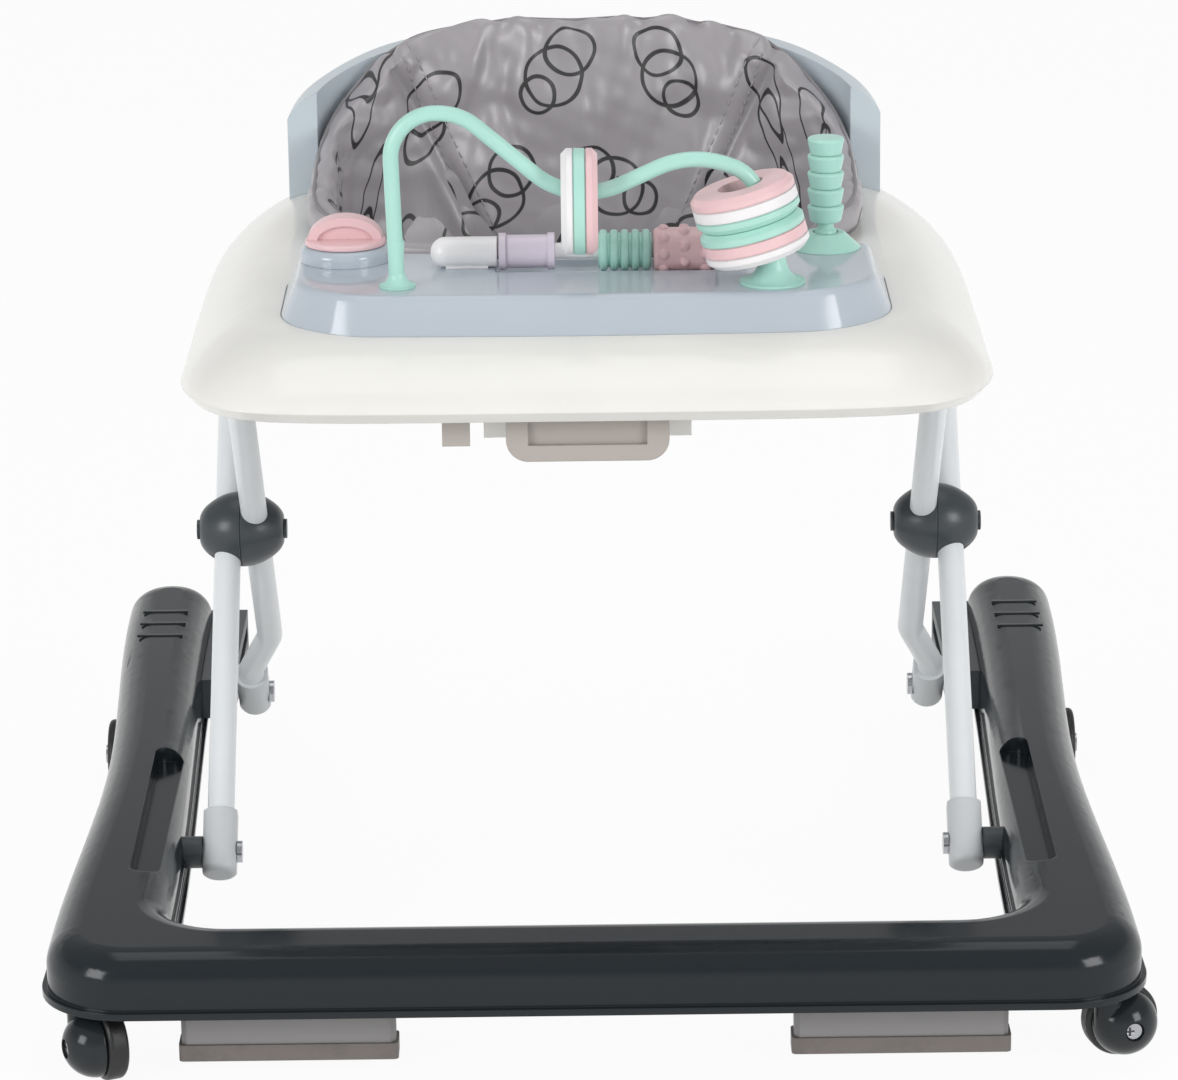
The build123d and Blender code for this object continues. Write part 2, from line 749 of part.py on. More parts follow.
def oval_point(angle, half_width, front, rear, front_power, rear_power):
    """Point of an oval at an angle, with its own reach and squareness in front and behind."""
    c = abs(math.cos(angle))
    s = abs(math.sin(angle))
    behind = math.sin(angle) >= 0
    power = rear_power if behind else front_power
    reach = rear if behind else front
    radius = ((c / half_width) ** power + (s / reach) ** power) ** (-1 / power)
    return radius * math.cos(angle), radius * math.sin(angle)


def oval(middle_y, half_width, front, rear, front_power, rear_power):
    """Face of a closed oval around a point on the middle line."""
    points = []
    for k in range(outline_points):
        angle = 2 * math.pi * k / outline_points
        x, y = oval_point(angle, half_width, front, rear, front_power, rear_power)
        points.append((x, middle_y + y))
    return make_face(Spline(*points, periodic=True))


def even_oval(middle_y, half_width, front, rear, front_power, rear_power):
    """Face of an oval through points at even steps, with its seam near a rear corner."""
    trace = []
    for k in range(tray_trace + 1):
        angle = math.pi / 2 + 2 * math.pi * k / tray_trace
        trace.append(oval_point(angle, half_width, front, rear, front_power, rear_power))
    run = [0.0]
    for before, after in zip(trace, trace[1:]):
        run.append(run[-1] + math.dist(before, after))
    points = []
    k = 0
    for step in range(tray_points):
        goal = run[-1] * step / tray_points
        while run[k + 1] < goal:
            k += 1
        share = (goal - run[k]) / (run[k + 1] - run[k])
        (x0, y0), (x1, y1) = trace[k], trace[k + 1]
        points.append((x0 + share * (x1 - x0), middle_y + y0 + share * (y1 - y0)))
    return make_face(Spline(*points[tray_seam:], *points[:tray_seam], periodic=True))


def tray_section(rise, inset):
    """Plan of the tray at a height above its rim."""
    face = even_oval(
        tray_wide_y,
        tray_half_width - inset * tray_side_share,
        tray_wide_y - tray_front_y - inset,
        tray_rear_y - tray_wide_y - inset * tray_rear_share,
        tray_front_power,
        tray_rear_power)
    return Pos(0, 0, tray_bottom_z + rise) * face


def opening_plan(grow):
    """Plan of the seat opening, grown all round."""
    reach = opening_half_length + grow
    return oval(opening_middle_y, opening_half_width + grow, reach, reach, opening_power, opening_power)


def panel_plan():
    """Plan of the toy panel: bowed front, straight sides, rear edge drawn in towards the middle."""
    front_side_y = panel_front_y + panel_bow
    edges = [
        ThreePointArc((-panel_half_width, front_side_y), (0, panel_front_y),
                      (panel_half_width, front_side_y)),
        Line((panel_half_width, front_side_y), (panel_half_width, panel_side_rear_y)),
        ThreePointArc((panel_half_width, panel_side_rear_y), (0, panel_middle_rear_y),
                      (-panel_half_width, panel_side_rear_y)),
        Line((-panel_half_width, panel_side_rear_y), (-panel_half_width, front_side_y)),
    ]
    plan = make_face(Curve() + edges)
    corners = plan.vertices().sort_by(Axis.Y)
    plan = fillet(corners[:2], panel_front_corner)
    corners = plan.vertices().sort_by(Axis.Y)
    return fillet(corners[-2:], panel_rear_corner)


def tray_form(height, wall):
    """Domed form of the tray from its rim up, drawn in by wall."""
    squeeze = height / tray_height
    sections = [tray_section(0, tray_rim_inset + wall)]
    for k in range(tray_steps + 1):
        angle = math.pi / 2 * k / tray_steps
        rise = tray_rim_rise + (tray_height - tray_rim_rise) * math.sin(angle)
        inset = tray_shoulder * (1 - math.cos(angle)) ** tray_shoulder_power
        sections.append(tray_section(rise * squeeze, inset + wall))
    return loft(sections[:2], ruled=True) + loft(sections[1:])


def tray_parts():
    """Tray shell, its outer form and the space under it where brackets may hang."""
    outer = tray_form(tray_height, 0)
    hollow = tray_form(tray_ceiling, tray_wall)
    shell = outer - hollow
    skirt = opening_plan(tray_wall) - opening_plan(0)
    skirt_height = tray_bottom_z + tray_ceiling - tray_skirt_bottom_z
    shell += extrude(Pos(0, 0, tray_skirt_bottom_z) * skirt, amount=skirt_height)
    shell -= extrude(Pos(0, 0, tray_bottom_z - overcut) * opening_plan(0), amount=tray_height + 2 * overcut)
    shell -= extrude(Pos(0, 0, panel_seat_z) * offset(panel_plan(), tray_gap), amount=panel_top_z)
    under = hollow + box_between(
        (-tray_half_width, tray_front_y, 0), (tray_half_width, tray_rear_y, tray_bottom_z))
    clip = box_between(
        (clip_x - clip_size[0] / 2, clip_y - clip_size[1] / 2, clip_bottom_z),
        (clip_x + clip_size[0] / 2, clip_y + clip_size[1] / 2, panel_top_z)) & under
    lug = box_between(
        (-spring_lug_size[0] / 2, spring_lug_y, tongue_z - spring_lug_drop),
        (spring_lug_size[0] / 2, spring_lug_y + spring_lug_size[1], panel_top_z)) & under
    return shell + clip + lug, outer, under


def rack_plate(under):
    """Right rack plate: long slot with height notches for the inner crossbar, and the handle's ledge."""
    slot_radius = tube_radius + joint_gap
    low_y = folded_top_y - slot_radius - rack_front_margin
    high_y = inner_top_y + slot_radius + rack_rear_margin
    plate = box_between(
        (rack_inner_x, low_y, rack_bottom_z), (rack_inner_x + rack_thickness, high_y, panel_top_z))
    plate += box_between(
        (rack_inner_x - ledge_reach, low_y, tongue_z - face_gap - ledge_height),
        (rack_inner_x, tongue_rear_y, tongue_z - face_gap))
    plate = plate & under
    slot_length = inner_top_y - folded_top_y + 2 * slot_radius
    slot_middle = (inner_top_y + folded_top_y) / 2
    slot = Pos(slot_middle, top_z) * SlotOverall(slot_length, 2 * slot_radius)
    plate -= side_solid(slot, 0, rack_inner_x + rack_thickness + overcut)
    for k in range(rack_notch_count):
        plate -= rod_x(slot_radius, rack_inner_x, rack_inner_x + rack_thickness,
                       inner_top_y - k * rack_notch_pitch, top_z - rack_notch_lift)
    return plate


def hinge_bracket(middle_x, under):
    """Rear bracket that holds the outer crossbar under the tray, around its middle."""
    block = box_between(
        (middle_x - bracket_width / 2, outer_top_y - bracket_half_length, bracket_bottom_z),
        (middle_x + bracket_width / 2, outer_top_y + bracket_half_length, panel_top_z)) & under
    return block - rod_x(tube_radius + run_gap, -tray_half_width, tray_half_width, outer_top_y, top_z)


def height_handle():
    """Pull handle under the tray: cup open below for the fingers, riser and sliding tongue behind."""
    cup = box_between(
        (-handle_half_width, handle_front_y, handle_bottom_z),
        (handle_half_width, handle_rear_y, handle_top_z))
    cup = fillet(cup.edges().filter_by(Axis.Y).sort_by(Axis.Z)[:2], handle_corner)
    cup -= box_between(
        (-handle_half_width + handle_wall, handle_front_y + handle_front_wall, handle_bottom_z - overcut),
        (handle_half_width - handle_wall, handle_rear_y - handle_wall, handle_top_z - handle_wall))
    window_side, window_low = handle_window
    cup -= box_between(
        (-handle_half_width + window_side, handle_front_y - overcut, handle_bottom_z + window_low),
        (handle_half_width - window_side, handle_front_y + handle_wall, handle_top_z + overcut))
    tongue_half = rack_inner_x - wheel_side_gap
    cup += box_between((-tongue_half, handle_rear_y - handle_wall, handle_top_z - handle_wall),
                       (tongue_half, handle_rear_y, tongue_z + tongue_height))
    cup += box_between((-tongue_half, handle_rear_y - handle_wall, tongue_z),
                       (tongue_half, tongue_rear_y, tongue_z + tongue_height))
    return cup


def handle_spring():
    """Return spring between the tongue and its lug, along Y."""
    length = spring_lug_y - tongue_rear_y - 2 * spring_wire
    coil = Helix(pitch=length / spring_turns, height=length, radius=spring_radius)
    start = coil @ 0
    wire = sweep(Plane(origin=start, z_dir=coil % 0) * Circle(spring_wire), path=coil)
    axis_z = tongue_z + tongue_height / 2
    return Pos(0, tongue_rear_y + spring_wire, axis_z) * Rot(-90, 0, 0) * wire


def panel_form(plan, top):
    """Panel's form on a plan: upright skirt in the tray, then sides that draw in towards the top."""
    skirt_top = panel_seat_z + panel_skirt
    skirt = extrude(Pos(0, 0, panel_seat_z) * plan, amount=panel_skirt)
    draw = panel_draw * (top - skirt_top) / (panel_top_z - skirt_top)
    return skirt + loft([Pos(0, 0, skirt_top) * plan, Pos(0, 0, top) * offset(plan, -draw)], ruled=True)


def toy_panel():
    """Hollow toy panel with the trough under the rollers."""
    plan = panel_plan()
    panel = panel_form(plan, panel_top_z)
    panel = fillet(panel.faces().sort_by(Axis.Z)[-1].edges(), panel_edge_radius)
    inside = panel_form(offset(plan, -panel_wall), panel_top_z - panel_wall)
    trough = rod_x(trough_radius, core_left_x - overcut, core_right_x + overcut, roller_y, roller_z)
    liner = rod_x(trough_radius + trough_wall, core_left_x - overcut - trough_wall,
                  core_right_x + overcut + trough_wall, roller_y, roller_z)
    inside -= liner
    panel = panel - inside - trough
    boss_hole = rod_z(dial_spindle_radius + overcut, panel_seat_z, panel_top_z + overcut, dial_x, dial_y)
    return panel - boss_hole


def profile_cut(points, depth_axis_low, depth_axis_high):
    """Solid with a front-view outline, from one Y to another."""
    face = Plane.XZ * make_face(points)
    return Pos(0, depth_axis_high, 0) * extrude(face, amount=depth_axis_high - depth_axis_low)


def backrest(tray_outer):
    """Curved backrest on the rear of the tray."""
    reach = rest_half_length
    outer = oval(rest_middle_y, rest_half_width, reach, reach, rest_power, rest_power)
    inner_reach = pad_half_length + face_gap
    inner = oval(rest_middle_y, pad_half_width + face_gap, inner_reach, inner_reach, pad_power, pad_power)
    low_z = tray_bottom_z + tray_rim_rise
    wall = extrude(Pos(0, 0, low_z) * (outer - inner), amount=pad_top_z - low_z)
    arch = Curve() + [
        Line((-rest_half_width, low_z), (rest_half_width, low_z)),
        Line((rest_half_width, low_z), (rest_half_width, rest_corner_z)),
        Spline((rest_half_width, rest_corner_z), (rest_shoulder_x, rest_shoulder_z), (0, rest_middle_z),
               tangents=[(0, 1), (-1, 0)]),
        Spline((0, rest_middle_z), (-rest_shoulder_x, rest_shoulder_z), (-rest_half_width, rest_corner_z),
               tangents=[(-1, 0), (0, -1)]),
        Line((-rest_half_width, rest_corner_z), (-rest_half_width, low_z)),
    ]
    wall = wall & profile_cut(arch, rest_front_y, rest_middle_y + rest_half_length + overcut)
    wall = wall - tray_outer
    return max(wall.solids(), key=lambda solid: solid.volume)


def seat_pad():
    """Padded back and sides of the seat, lower towards the front, with two sewn channels."""
    outer = oval(rest_middle_y, pad_half_width, pad_half_length, pad_half_length, pad_power, pad_power)
    reach = pad_half_length - pad_thickness
    inner = oval(rest_middle_y, pad_half_width - pad_thickness, reach, reach, pad_power, pad_power)
    low_z = sling_flange_z + sling_flange_height + face_gap
    wall = extrude(Pos(0, 0, low_z) * (outer - inner), amount=pad_top_z - low_z)
    other_crown = [(-x, z) for x, z in reversed(pad_crown)]
    crown = Curve() + [
        Line((-pad_half_width, low_z), (pad_half_width, low_z)),
        Spline((pad_half_width, low_z), *pad_crown, (0, pad_top_z), tangents=[(-0.2, 1), (-1, 0)]),
        Spline((0, pad_top_z), *other_crown, (-pad_half_width, low_z), tangents=[(-1, 0), (-0.2, -1)]),
    ]
    rear_y = rest_middle_y + pad_half_length + overcut
    wall = wall & profile_cut(crown, pad_front_y, rear_y)
    slope = make_face(Curve() + [
        Line((pad_front_y, low_z), (rear_y, low_z)),
        Line((rear_y, low_z), (rear_y, pad_top_z)),
        Line((rear_y, pad_top_z), (rear_y - pad_slope_run, pad_top_z)),
        Spline((rear_y - pad_slope_run, pad_top_z), pad_slope, (pad_front_y, low_z + pad_front_height),
               tangents=[(-0.2, -1), (-1, -0.05)]),
        Line((pad_front_y, low_z + pad_front_height), (pad_front_y, low_z)),
    ])
    wall = wall & side_solid(slope, -tray_half_width, tray_half_width)
    front_face_y = rest_middle_y + reach
    for x in (pad_seam_x, -pad_seam_x):
        wall -= box_between((x - pad_seam_width / 2, front_face_y - pad_seam_reach, low_z),
                            (x + pad_seam_width / 2, front_face_y - overcut, pad_top_z))
    return max(wall.solids(), key=lambda solid: solid.volume)


def sling_bowl(shrink, above):
    """Tapered bowl of the seat sling, drawn in by shrink all round and raised above its top and bottom."""
    sections = []
    for k, (drop, inset) in enumerate(sling_profile):
        level = sling_flange_z + sling_flange_height - drop
        if k == 0:
            level += shrink
        if k == len(sling_profile) - 1:
            level += above
        sections.append(Pos(0, 0, level) * opening_plan(-sling_gap - shrink - inset))
    return loft(sections, ruled=True)


def seat_sling():
    """Cloth seat hung in the opening: rolled flange, tapered bowl, two leg holes."""
    inside = sling_bowl(sling_wall, overcut)
    flange = extrude(Pos(0, 0, sling_flange_z) * opening_plan(sling_flange_reach), amount=sling_flange_height)
    cloth = (sling_bowl(0, 0) - inside) + (flange - inside)
    bottom = sling_flange_z - sling_profile[0][0]
    for x in (leg_hole_x, -leg_hole_x):
        cloth -= rod_z(leg_hole_radius, bottom, bottom + leg_hole_depth, x, leg_hole_y)
    return cloth


def above_panel(shape):
    """What of a toy lies above the panel's flat top."""
    return shape & box_between(
        (-tray_half_width, tray_front_y, panel_top_z), (tray_half_width, 0, 2 * panel_top_z))


def trumpet(x, radius, height, top_radius):
    """Flared foot of the bead wire on the panel."""
    profile = make_face(Curve() + [
        Line((0, 0), (radius, 0)),
        Line((radius, 0), (radius, foot_edge)),
        Spline((radius, foot_edge), (top_radius, height), tangents=[(-1, 0.15), (0, 1)]),
        Line((top_radius, height), (0, height)),
        Line((0, height), (0, 0)),
    ])
    foot = revolve(Plane.XZ * profile, axis=Axis.Z, revolution_arc=360)
    return Pos(x, wire_y, panel_top_z) * foot


def wire_leg_x(z):
    """Where the wire's leaning right leg is at a height."""
    return wire_leg_top[0] + (wire_leg_top[1] - z) * stack_x / stack_z


def bead_wire():
    """Bent wire over the panel with its two flared feet."""
    leg = (wire_leg_top, (wire_leg_x(wire_leg_low_z), wire_leg_low_z))
    points = [(x, wire_y, z) for x, z in wire_points + leg]
    path = FilletPolyline(*points, radius=list(wire_radii))
    start = Plane(origin=points[0], z_dir=path % 0)
    wire = sweep(start * Circle(wire_radius), path=path)
    return above_panel(wire + trumpet(*left_foot) + trumpet(*right_foot))


def stack_place(k):
    """Middle of a leaning disc on the wire's right leg, with k discs under it."""
    shift = disc_hole_radius - wire_radius - face_gap
    along = k * (disc_thickness + face_gap)
    leg_x = wire_leg_x(stack_low_z + shift * stack_x)
    return leg_x - shift * stack_z - along * stack_x, stack_low_z + along * stack_z


def ring_disc(x, z, lean):
    """Layered ring on the bead wire, its axis leaning from upright by lean degrees about Y."""
    ring = Cylinder(disc_radius, disc_thickness)
    ring = chamfer(ring.edges(), disc_bevel)
    hole = Cylinder(disc_hole_radius, disc_thickness)
    ring = ring - hole
    for level in (-disc_thickness / 6, disc_thickness / 6):
        groove = Cylinder(disc_radius, disc_groove) - Cylinder(disc_radius - disc_groove, disc_groove)
        ring -= Pos(0, 0, level) * groove
    return Pos(x, wire_y, z) * Rot(0, lean, 0) * ring


def roller_bar():
    """Fixed bar with rounded ends, feet on the panel and a thin core for the rollers."""
    left = rod_x(bar_radius, bar_left_x + bar_radius, core_left_x, roller_y, roller_z)
    left += Pos(bar_left_x + bar_radius, roller_y, roller_z) * Sphere(bar_radius)
    right = rod_x(bar_radius, core_right_x, bar_right_x - bar_radius, roller_y, roller_z)
    right += Pos(bar_right_x - bar_radius, roller_y, roller_z) * Sphere(bar_radius)
    core = rod_x(core_radius, core_left_x, core_right_x, roller_y, roller_z)
    foot_half = bar_radius * bar_foot_share
    left_pad = box_between((bar_left_x + bar_radius, roller_y - foot_half, panel_top_z),
                           (core_left_x - bar_foot_margin, roller_y + foot_half, roller_z))
    right_pad = box_between((core_right_x + bar_foot_margin, roller_y - foot_half, panel_top_z),
                            (bar_right_x - bar_radius, roller_y + foot_half, roller_z))
    bar = left + right + core + left_pad + right_pad
    return above_panel(bar)


def roller_blank(radius, span):
    """Round blank of a roller on the bar's core."""
    return rod_x(radius, span[0], span[1], roller_y, roller_z)


def roller_bore(span):
    """Running bore of a roller."""
    return rod_x(core_radius + run_gap, span[0] - overcut, span[1] + overcut, roller_y, roller_z)


def bobbin_roller():
    """Flanged roller."""
    radius, width = bobbin_flange
    low, high = bobbin_span
    body = roller_blank(bobbin_radius, bobbin_span)
    body += roller_blank(radius, (low, low + width))
    body += roller_blank(radius, (high - width, high))
    return body - roller_bore(bobbin_span)


def ribbed_roller():
    """Roller with round ribs."""
    low, high = ribbed_span
    pitch = (high - low) / ribbed_count
    body = roller_blank(ribbed_radius, ribbed_span)
    for k in range(ribbed_count):
        rib_low = low + k * pitch + ribbed_gap / 2
        rib = roller_blank(ribbed_rib_radius, (rib_low, rib_low + pitch - ribbed_gap))
        body += fillet(rib.edges(), ribbed_round)
    return body - roller_bore(ribbed_span)


def bumpy_roller():
    """Roller with rows of round bumps."""
    low, high = bumpy_span
    body = fillet(roller_blank(bumpy_radius, bumpy_span).edges(), bumpy_edge)
    pitch = (high - low) / bumpy_rows
    bumps = []
    for row in range(bumpy_rows):
        for k in range(bumpy_around):
            angle = 2 * math.pi * (k + 0.5 * (row % 2)) / bumpy_around
            y = roller_y + (bumpy_radius - bump_sink) * math.cos(angle)
            z = roller_z + (bumpy_radius - bump_sink) * math.sin(angle)
            bumps.append(Pos(low + (row + 0.5) * pitch, y, z) * Sphere(bump_radius))
    body = body + bumps
    return body - roller_bore(bumpy_span)


def dial_parts():
    """Fixed boss and the turning dial with its grip."""
    boss_top = panel_top_z + dial_boss_height
    boss = rod_z(dial_boss_radius, panel_top_z, boss_top, dial_x, dial_y)
    boss = fillet(boss.faces().sort_by(Axis.Z)[-1].edges(), dial_boss_edge)
    boss -= rod_z(dial_spindle_radius + run_gap, boss_top - dial_spindle_depth - overcut, boss_top + overcut,
                  dial_x, dial_y)
    low = boss_top + face_gap
    disc = rod_z(dial_radius, low, low + dial_height, dial_x, dial_y)
    disc = fillet(disc.faces().sort_by(Axis.Z)[-1].edges(), dial_edge)
    fin = Plane.XZ * Ellipse(dial_radius - dial_edge, dial_grip_height)
    recess_half, recess_height, recess_depth = dial_recess
    hollow = Plane.XZ * Ellipse(recess_half, recess_height)
    grip = extrude(fin, amount=dial_grip_width / 2, both=True)
    blade = dial_grip_width / 2 - recess_depth
    grip -= extrude(hollow, amount=dial_grip_width, both=True) - extrude(hollow, amount=blade, both=True)
    grip = Pos(dial_x, dial_y, low + dial_height - overcut) * grip & box_between(
        (dial_x - dial_radius, dial_y - dial_radius, low + dial_height - overcut),
        (dial_x + dial_radius, dial_y + dial_radius, 2 * low))
    spindle = rod_z(dial_spindle_radius, boss_top - dial_spindle_depth, low + overcut, dial_x, dial_y)
    return boss, disc + grip + spindle


def lever_parts():
    """Fixed socket and the ribbed lever that tilts in it."""
    socket = Pos(lever_x, lever_y, panel_top_z) * Cone(
        lever_socket_radius, lever_ball_radius + lever_socket_wall, lever_socket_height,
        align=(Align.CENTER, Align.CENTER, Align.MIN))
    ball = Pos(lever_x, lever_y, lever_pivot_z)
    socket -= ball * Sphere(lever_ball_radius + ball_gap)
    mouth = lever_neck_radius + lever_mouth_gap
    socket -= rod_z(mouth, lever_pivot_z, lever_first_z, lever_x, lever_y)
    lever = ball * Sphere(lever_ball_radius)
    lever += rod_z(lever_neck_radius, lever_pivot_z, lever_first_z + lever_edge, lever_x, lever_y)
    for k in range(lever_segments):
        z = lever_first_z + k * lever_segment_height
        segment = Pos(lever_x, lever_y, z) * Cone(
            lever_waist_radius, lever_rim_radius, lever_segment_height,
            align=(Align.CENTER, Align.CENTER, Align.MIN))
        lever += fillet(segment.edges(), lever_edge)
    return socket, lever


def tray_screws():
    """Screw heads that hold the rear brackets to the tray, under their feet."""
    heads = []
    for x in (bracket_x, -bracket_x):
        heads.append(rod_z(screw_radius, bracket_bottom_z - screw_height, bracket_bottom_z, x, outer_top_y))
    return heads


def write(name, *shapes):
    """One STEP file for a node, with its separate solids."""
    solids = []
    for shape in shapes:
        solids.extend(shape.solids())
    node = solids[0] if len(solids) == 1 else Compound(children=solids)
    export_step(node, f"parts/{name}.step")


def main():
    os.makedirs("parts", exist_ok=True)
    shell, block = base_parts()
    write("base_shell", shell)
    holder, strip = stopper_parts()
    spacer, bolt = front_pivot_parts(block)
    rail = slide_rail(block)
    wheel, axle = rear_wheel_parts()
    leg, bar, cap, half, pin = outer_leg_parts()
    inner_leg, inner_bar, inner_cap, inner_half, slide_pin = inner_leg_parts()
    for side, name in ((1, "right"), (-1, "left")):
        def place(shape):
            return shape if side > 0 else other_side(shape)
        write(f"{name}_stopper_holder", place(holder))
        write(f"{name}_stopper_strip", place(strip))
        write(f"{name}_slide_rail", place(rail))
        write(f"{name}_rear_wheel", place(wheel))
        write(f"{name}_outer_leg", place(leg))
        write(f"{name}_outer_foot_cap", place(cap))
        write(f"{name}_joint_outer_half", place(half))
        write(f"{name}_inner_leg", place(inner_leg))
        write(f"{name}_inner_foot_cap", place(inner_cap))
        write(f"{name}_joint_inner_half", place(inner_half))
        heading = right_caster_heading if side > 0 else left_caster_heading
        hood, stem, caster_axle, caster_wheel = caster_parts(side, heading)
        write(f"{name}_caster_hood", hood)
        write(f"{name}_caster_stem", stem)
        write(f"{name}_caster_axle", caster_axle)
        write(f"{name}_caster_wheel", caster_wheel)
    write("front_pivot_spacers", *both_sides(spacer))
    write("front_pivot_bolts", *both_sides(bolt))
    write("rear_axles", *both_sides(axle))
    write("outer_crossbar", bar)
    write("joint_pins", *both_sides(pin))
    write("inner_crossbar", inner_bar)
    write("slide_pins", *both_sides(slide_pin))

    tray, tray_outer, under = tray_parts()
    write("tray_shell", tray)
    rack = rack_plate(under)
    write("right_rack_plate", rack)
    write("left_rack_plate", other_side(rack))
    write("rear_hinge_brackets", hinge_bracket(bracket_x, under), hinge_bracket(-bracket_x, under))
    write("tray_screws", *tray_screws())
    write("height_handle", height_handle())
    write("handle_spring", handle_spring())
    write("toy_panel", toy_panel())
    write("backrest", backrest(tray_outer))
    write("seat_pad", seat_pad())
    write("seat_sling", seat_sling())
    write("bead_wire", bead_wire())
    write("swing_disc", ring_disc(swing_disc_x, swing_disc_z, 90))
    write("lower_disc", ring_disc(*stack_place(0), -stack_lean))
    write("upper_disc", ring_disc(*stack_place(1), -stack_lean))
    write("roller_bar", roller_bar())
    write("bobbin_roller", bobbin_roller())
    write("ribbed_roller", ribbed_roller())
    write("bumpy_roller", bumpy_roller())
    boss, dial = dial_parts()
    write("dial_boss", boss)
    write("dial", dial)
    socket, lever = lever_parts()
    write("lever_socket", socket)
    write("lever", lever)


main()
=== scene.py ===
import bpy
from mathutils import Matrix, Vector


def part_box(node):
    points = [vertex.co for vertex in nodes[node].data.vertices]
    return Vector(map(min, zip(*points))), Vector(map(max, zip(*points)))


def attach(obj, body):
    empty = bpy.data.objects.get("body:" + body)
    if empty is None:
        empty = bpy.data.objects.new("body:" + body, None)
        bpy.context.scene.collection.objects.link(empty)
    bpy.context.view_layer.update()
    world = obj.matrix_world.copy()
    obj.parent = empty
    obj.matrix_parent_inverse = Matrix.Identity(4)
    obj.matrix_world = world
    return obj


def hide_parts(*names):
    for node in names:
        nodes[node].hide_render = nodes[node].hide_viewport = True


bl_info = {
    "name": "Baby Walker",
    "version": (1, 0, 0),
    "blender": (4, 5, 0),
    "location": "View3D > Sidebar > Walker",
    "description": "Finishes, padded seat, stitching and studio for the baby walker",
    "category": "Object",
}

import math

import bpy
import numpy as np
from bpy.props import FloatProperty, FloatVectorProperty, IntProperty, PointerProperty
from mathutils import Matrix, Vector
from mathutils.bvhtree import BVHTree

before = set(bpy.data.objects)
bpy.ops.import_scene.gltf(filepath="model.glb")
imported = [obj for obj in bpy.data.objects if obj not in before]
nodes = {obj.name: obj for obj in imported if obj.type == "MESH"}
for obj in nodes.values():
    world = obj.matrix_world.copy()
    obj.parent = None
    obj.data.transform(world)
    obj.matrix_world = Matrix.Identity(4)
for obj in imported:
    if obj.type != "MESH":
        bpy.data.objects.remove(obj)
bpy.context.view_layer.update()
# Steps that trace an outline before its points are spread evenly
fine_steps = 3000


def tone(red, green, blue):
    """Linear colour of an 8-bit screen colour."""
    def linear(value):
        value /= 255
        return value / 12.92 if value <= 0.04045 else ((value + 0.055) / 1.055) ** 2.4
    return linear(red), linear(green), linear(blue)


def colour_setting(name, description, default):
    """Colour that a user may change."""
    return FloatVectorProperty(
        name=name, description=description, default=default, subtype="COLOR", size=3, min=0, max=1)


def length_setting(name, description, default):
    """Length that a user may change, in metres."""
    return FloatProperty(
        name=name, description=description, default=default, min=0, unit="LENGTH", precision=4)


class WalkerColours(bpy.types.PropertyGroup):
    """Colours of the walker's finishes."""
    shell: colour_setting("Base", "Dark gloss plastic of the base", tone(30, 36, 40))
    joint: colour_setting("Joints", "Dark satin plastic of the leg joints", tone(58, 64, 68))
    tube: colour_setting("Legs", "Light grey paint on the leg tubes", tone(228, 232, 234))
    cap: colour_setting("Foot caps", "Light grey plastic of the foot caps", tone(205, 209, 211))
    tray: colour_setting("Tray", "Off-white gloss plastic of the tray", tone(231, 230, 225))
    panel: colour_setting("Toy panel", "Blue-grey gloss plastic of the toy panel", tone(180, 189, 198))
    backrest: colour_setting("Backrest", "Blue-grey satin plastic of the backrest", tone(192, 203, 210))
    cloth: colour_setting("Seat cloth", "Grey satin cloth of the seat", tone(159, 155, 159))
    ink: colour_setting("Print", "Rings printed on the seat cloth", tone(14, 14, 16))
    thread: colour_setting("Thread", "Stitching of the seat", tone(182, 179, 182))
    tyre: colour_setting("Tyres", "Black rubber of the wheels", tone(24, 25, 27))
    steel: colour_setting("Steel", "Plated screws, pins and axles", tone(178, 180, 184))
    holder: colour_setting("Stopper holders", "Grey plastic of the stopper holders", tone(152, 150, 150))
    strip: colour_setting("Stopper strips", "Brown-grey rubber of the stoppers", tone(122, 115, 111))
    # The handle's cream is darkened as painted shade for the tray's shadow over the handle
    shaded_cream: colour_setting("Handle", "Cream-grey plastic of the height handle", tone(173, 166, 160))
    mint: colour_setting("Mint toys", "Mint plastic of the toys", tone(172, 219, 206))
    pink: colour_setting("Pink toys", "Pink plastic of the toys", tone(231, 194, 197))
    white: colour_setting("White toys", "White plastic of the toys", tone(235, 233, 234))
    lavender: colour_setting("Lavender toys", "Lavender plastic of the toys", tone(216, 205, 219))


class WalkerSizes(bpy.types.PropertyGroup):
    """Sizes of the sewn seat and of the studio."""
    pad_thickness: length_setting("Back pad", "Thickness of the pad behind the child", 0.011)
    wing_thickness: length_setting("Side pads", "Thickness of the pads beside the child", 0.017)
    corner_fill: length_setting("Corner pads", "Extra filling in the two rear corners", 0.016)
    puff: length_setting("Puff", "Furthest the filling may push the cloth", 0.008)
    pleat: length_setting("Pleats", "Depth of the folds in the back panel", 0.0046)
    seam_depth: length_setting("Seam depth", "How deep a seam draws the pad in", 0.0045)
    piping: length_setting("Piping", "Radius of the edge piping", 0.0012)
    stitch: length_setting("Stitch", "Length of one stitch", 0.0042)
    ring_cell: length_setting("Print pitch", "Distance between two groups of printed rings", 0.072)
    cell_size: length_setting("Cloth grid", "Size of one cell of the cloth mesh", 0.005)
    frames: IntProperty(
        name="Cloth frames", description="Steps that the pad's cloth settles for", default=20, min=2)
    floor: length_setting("Floor", "Width of the studio floor", 40.0)


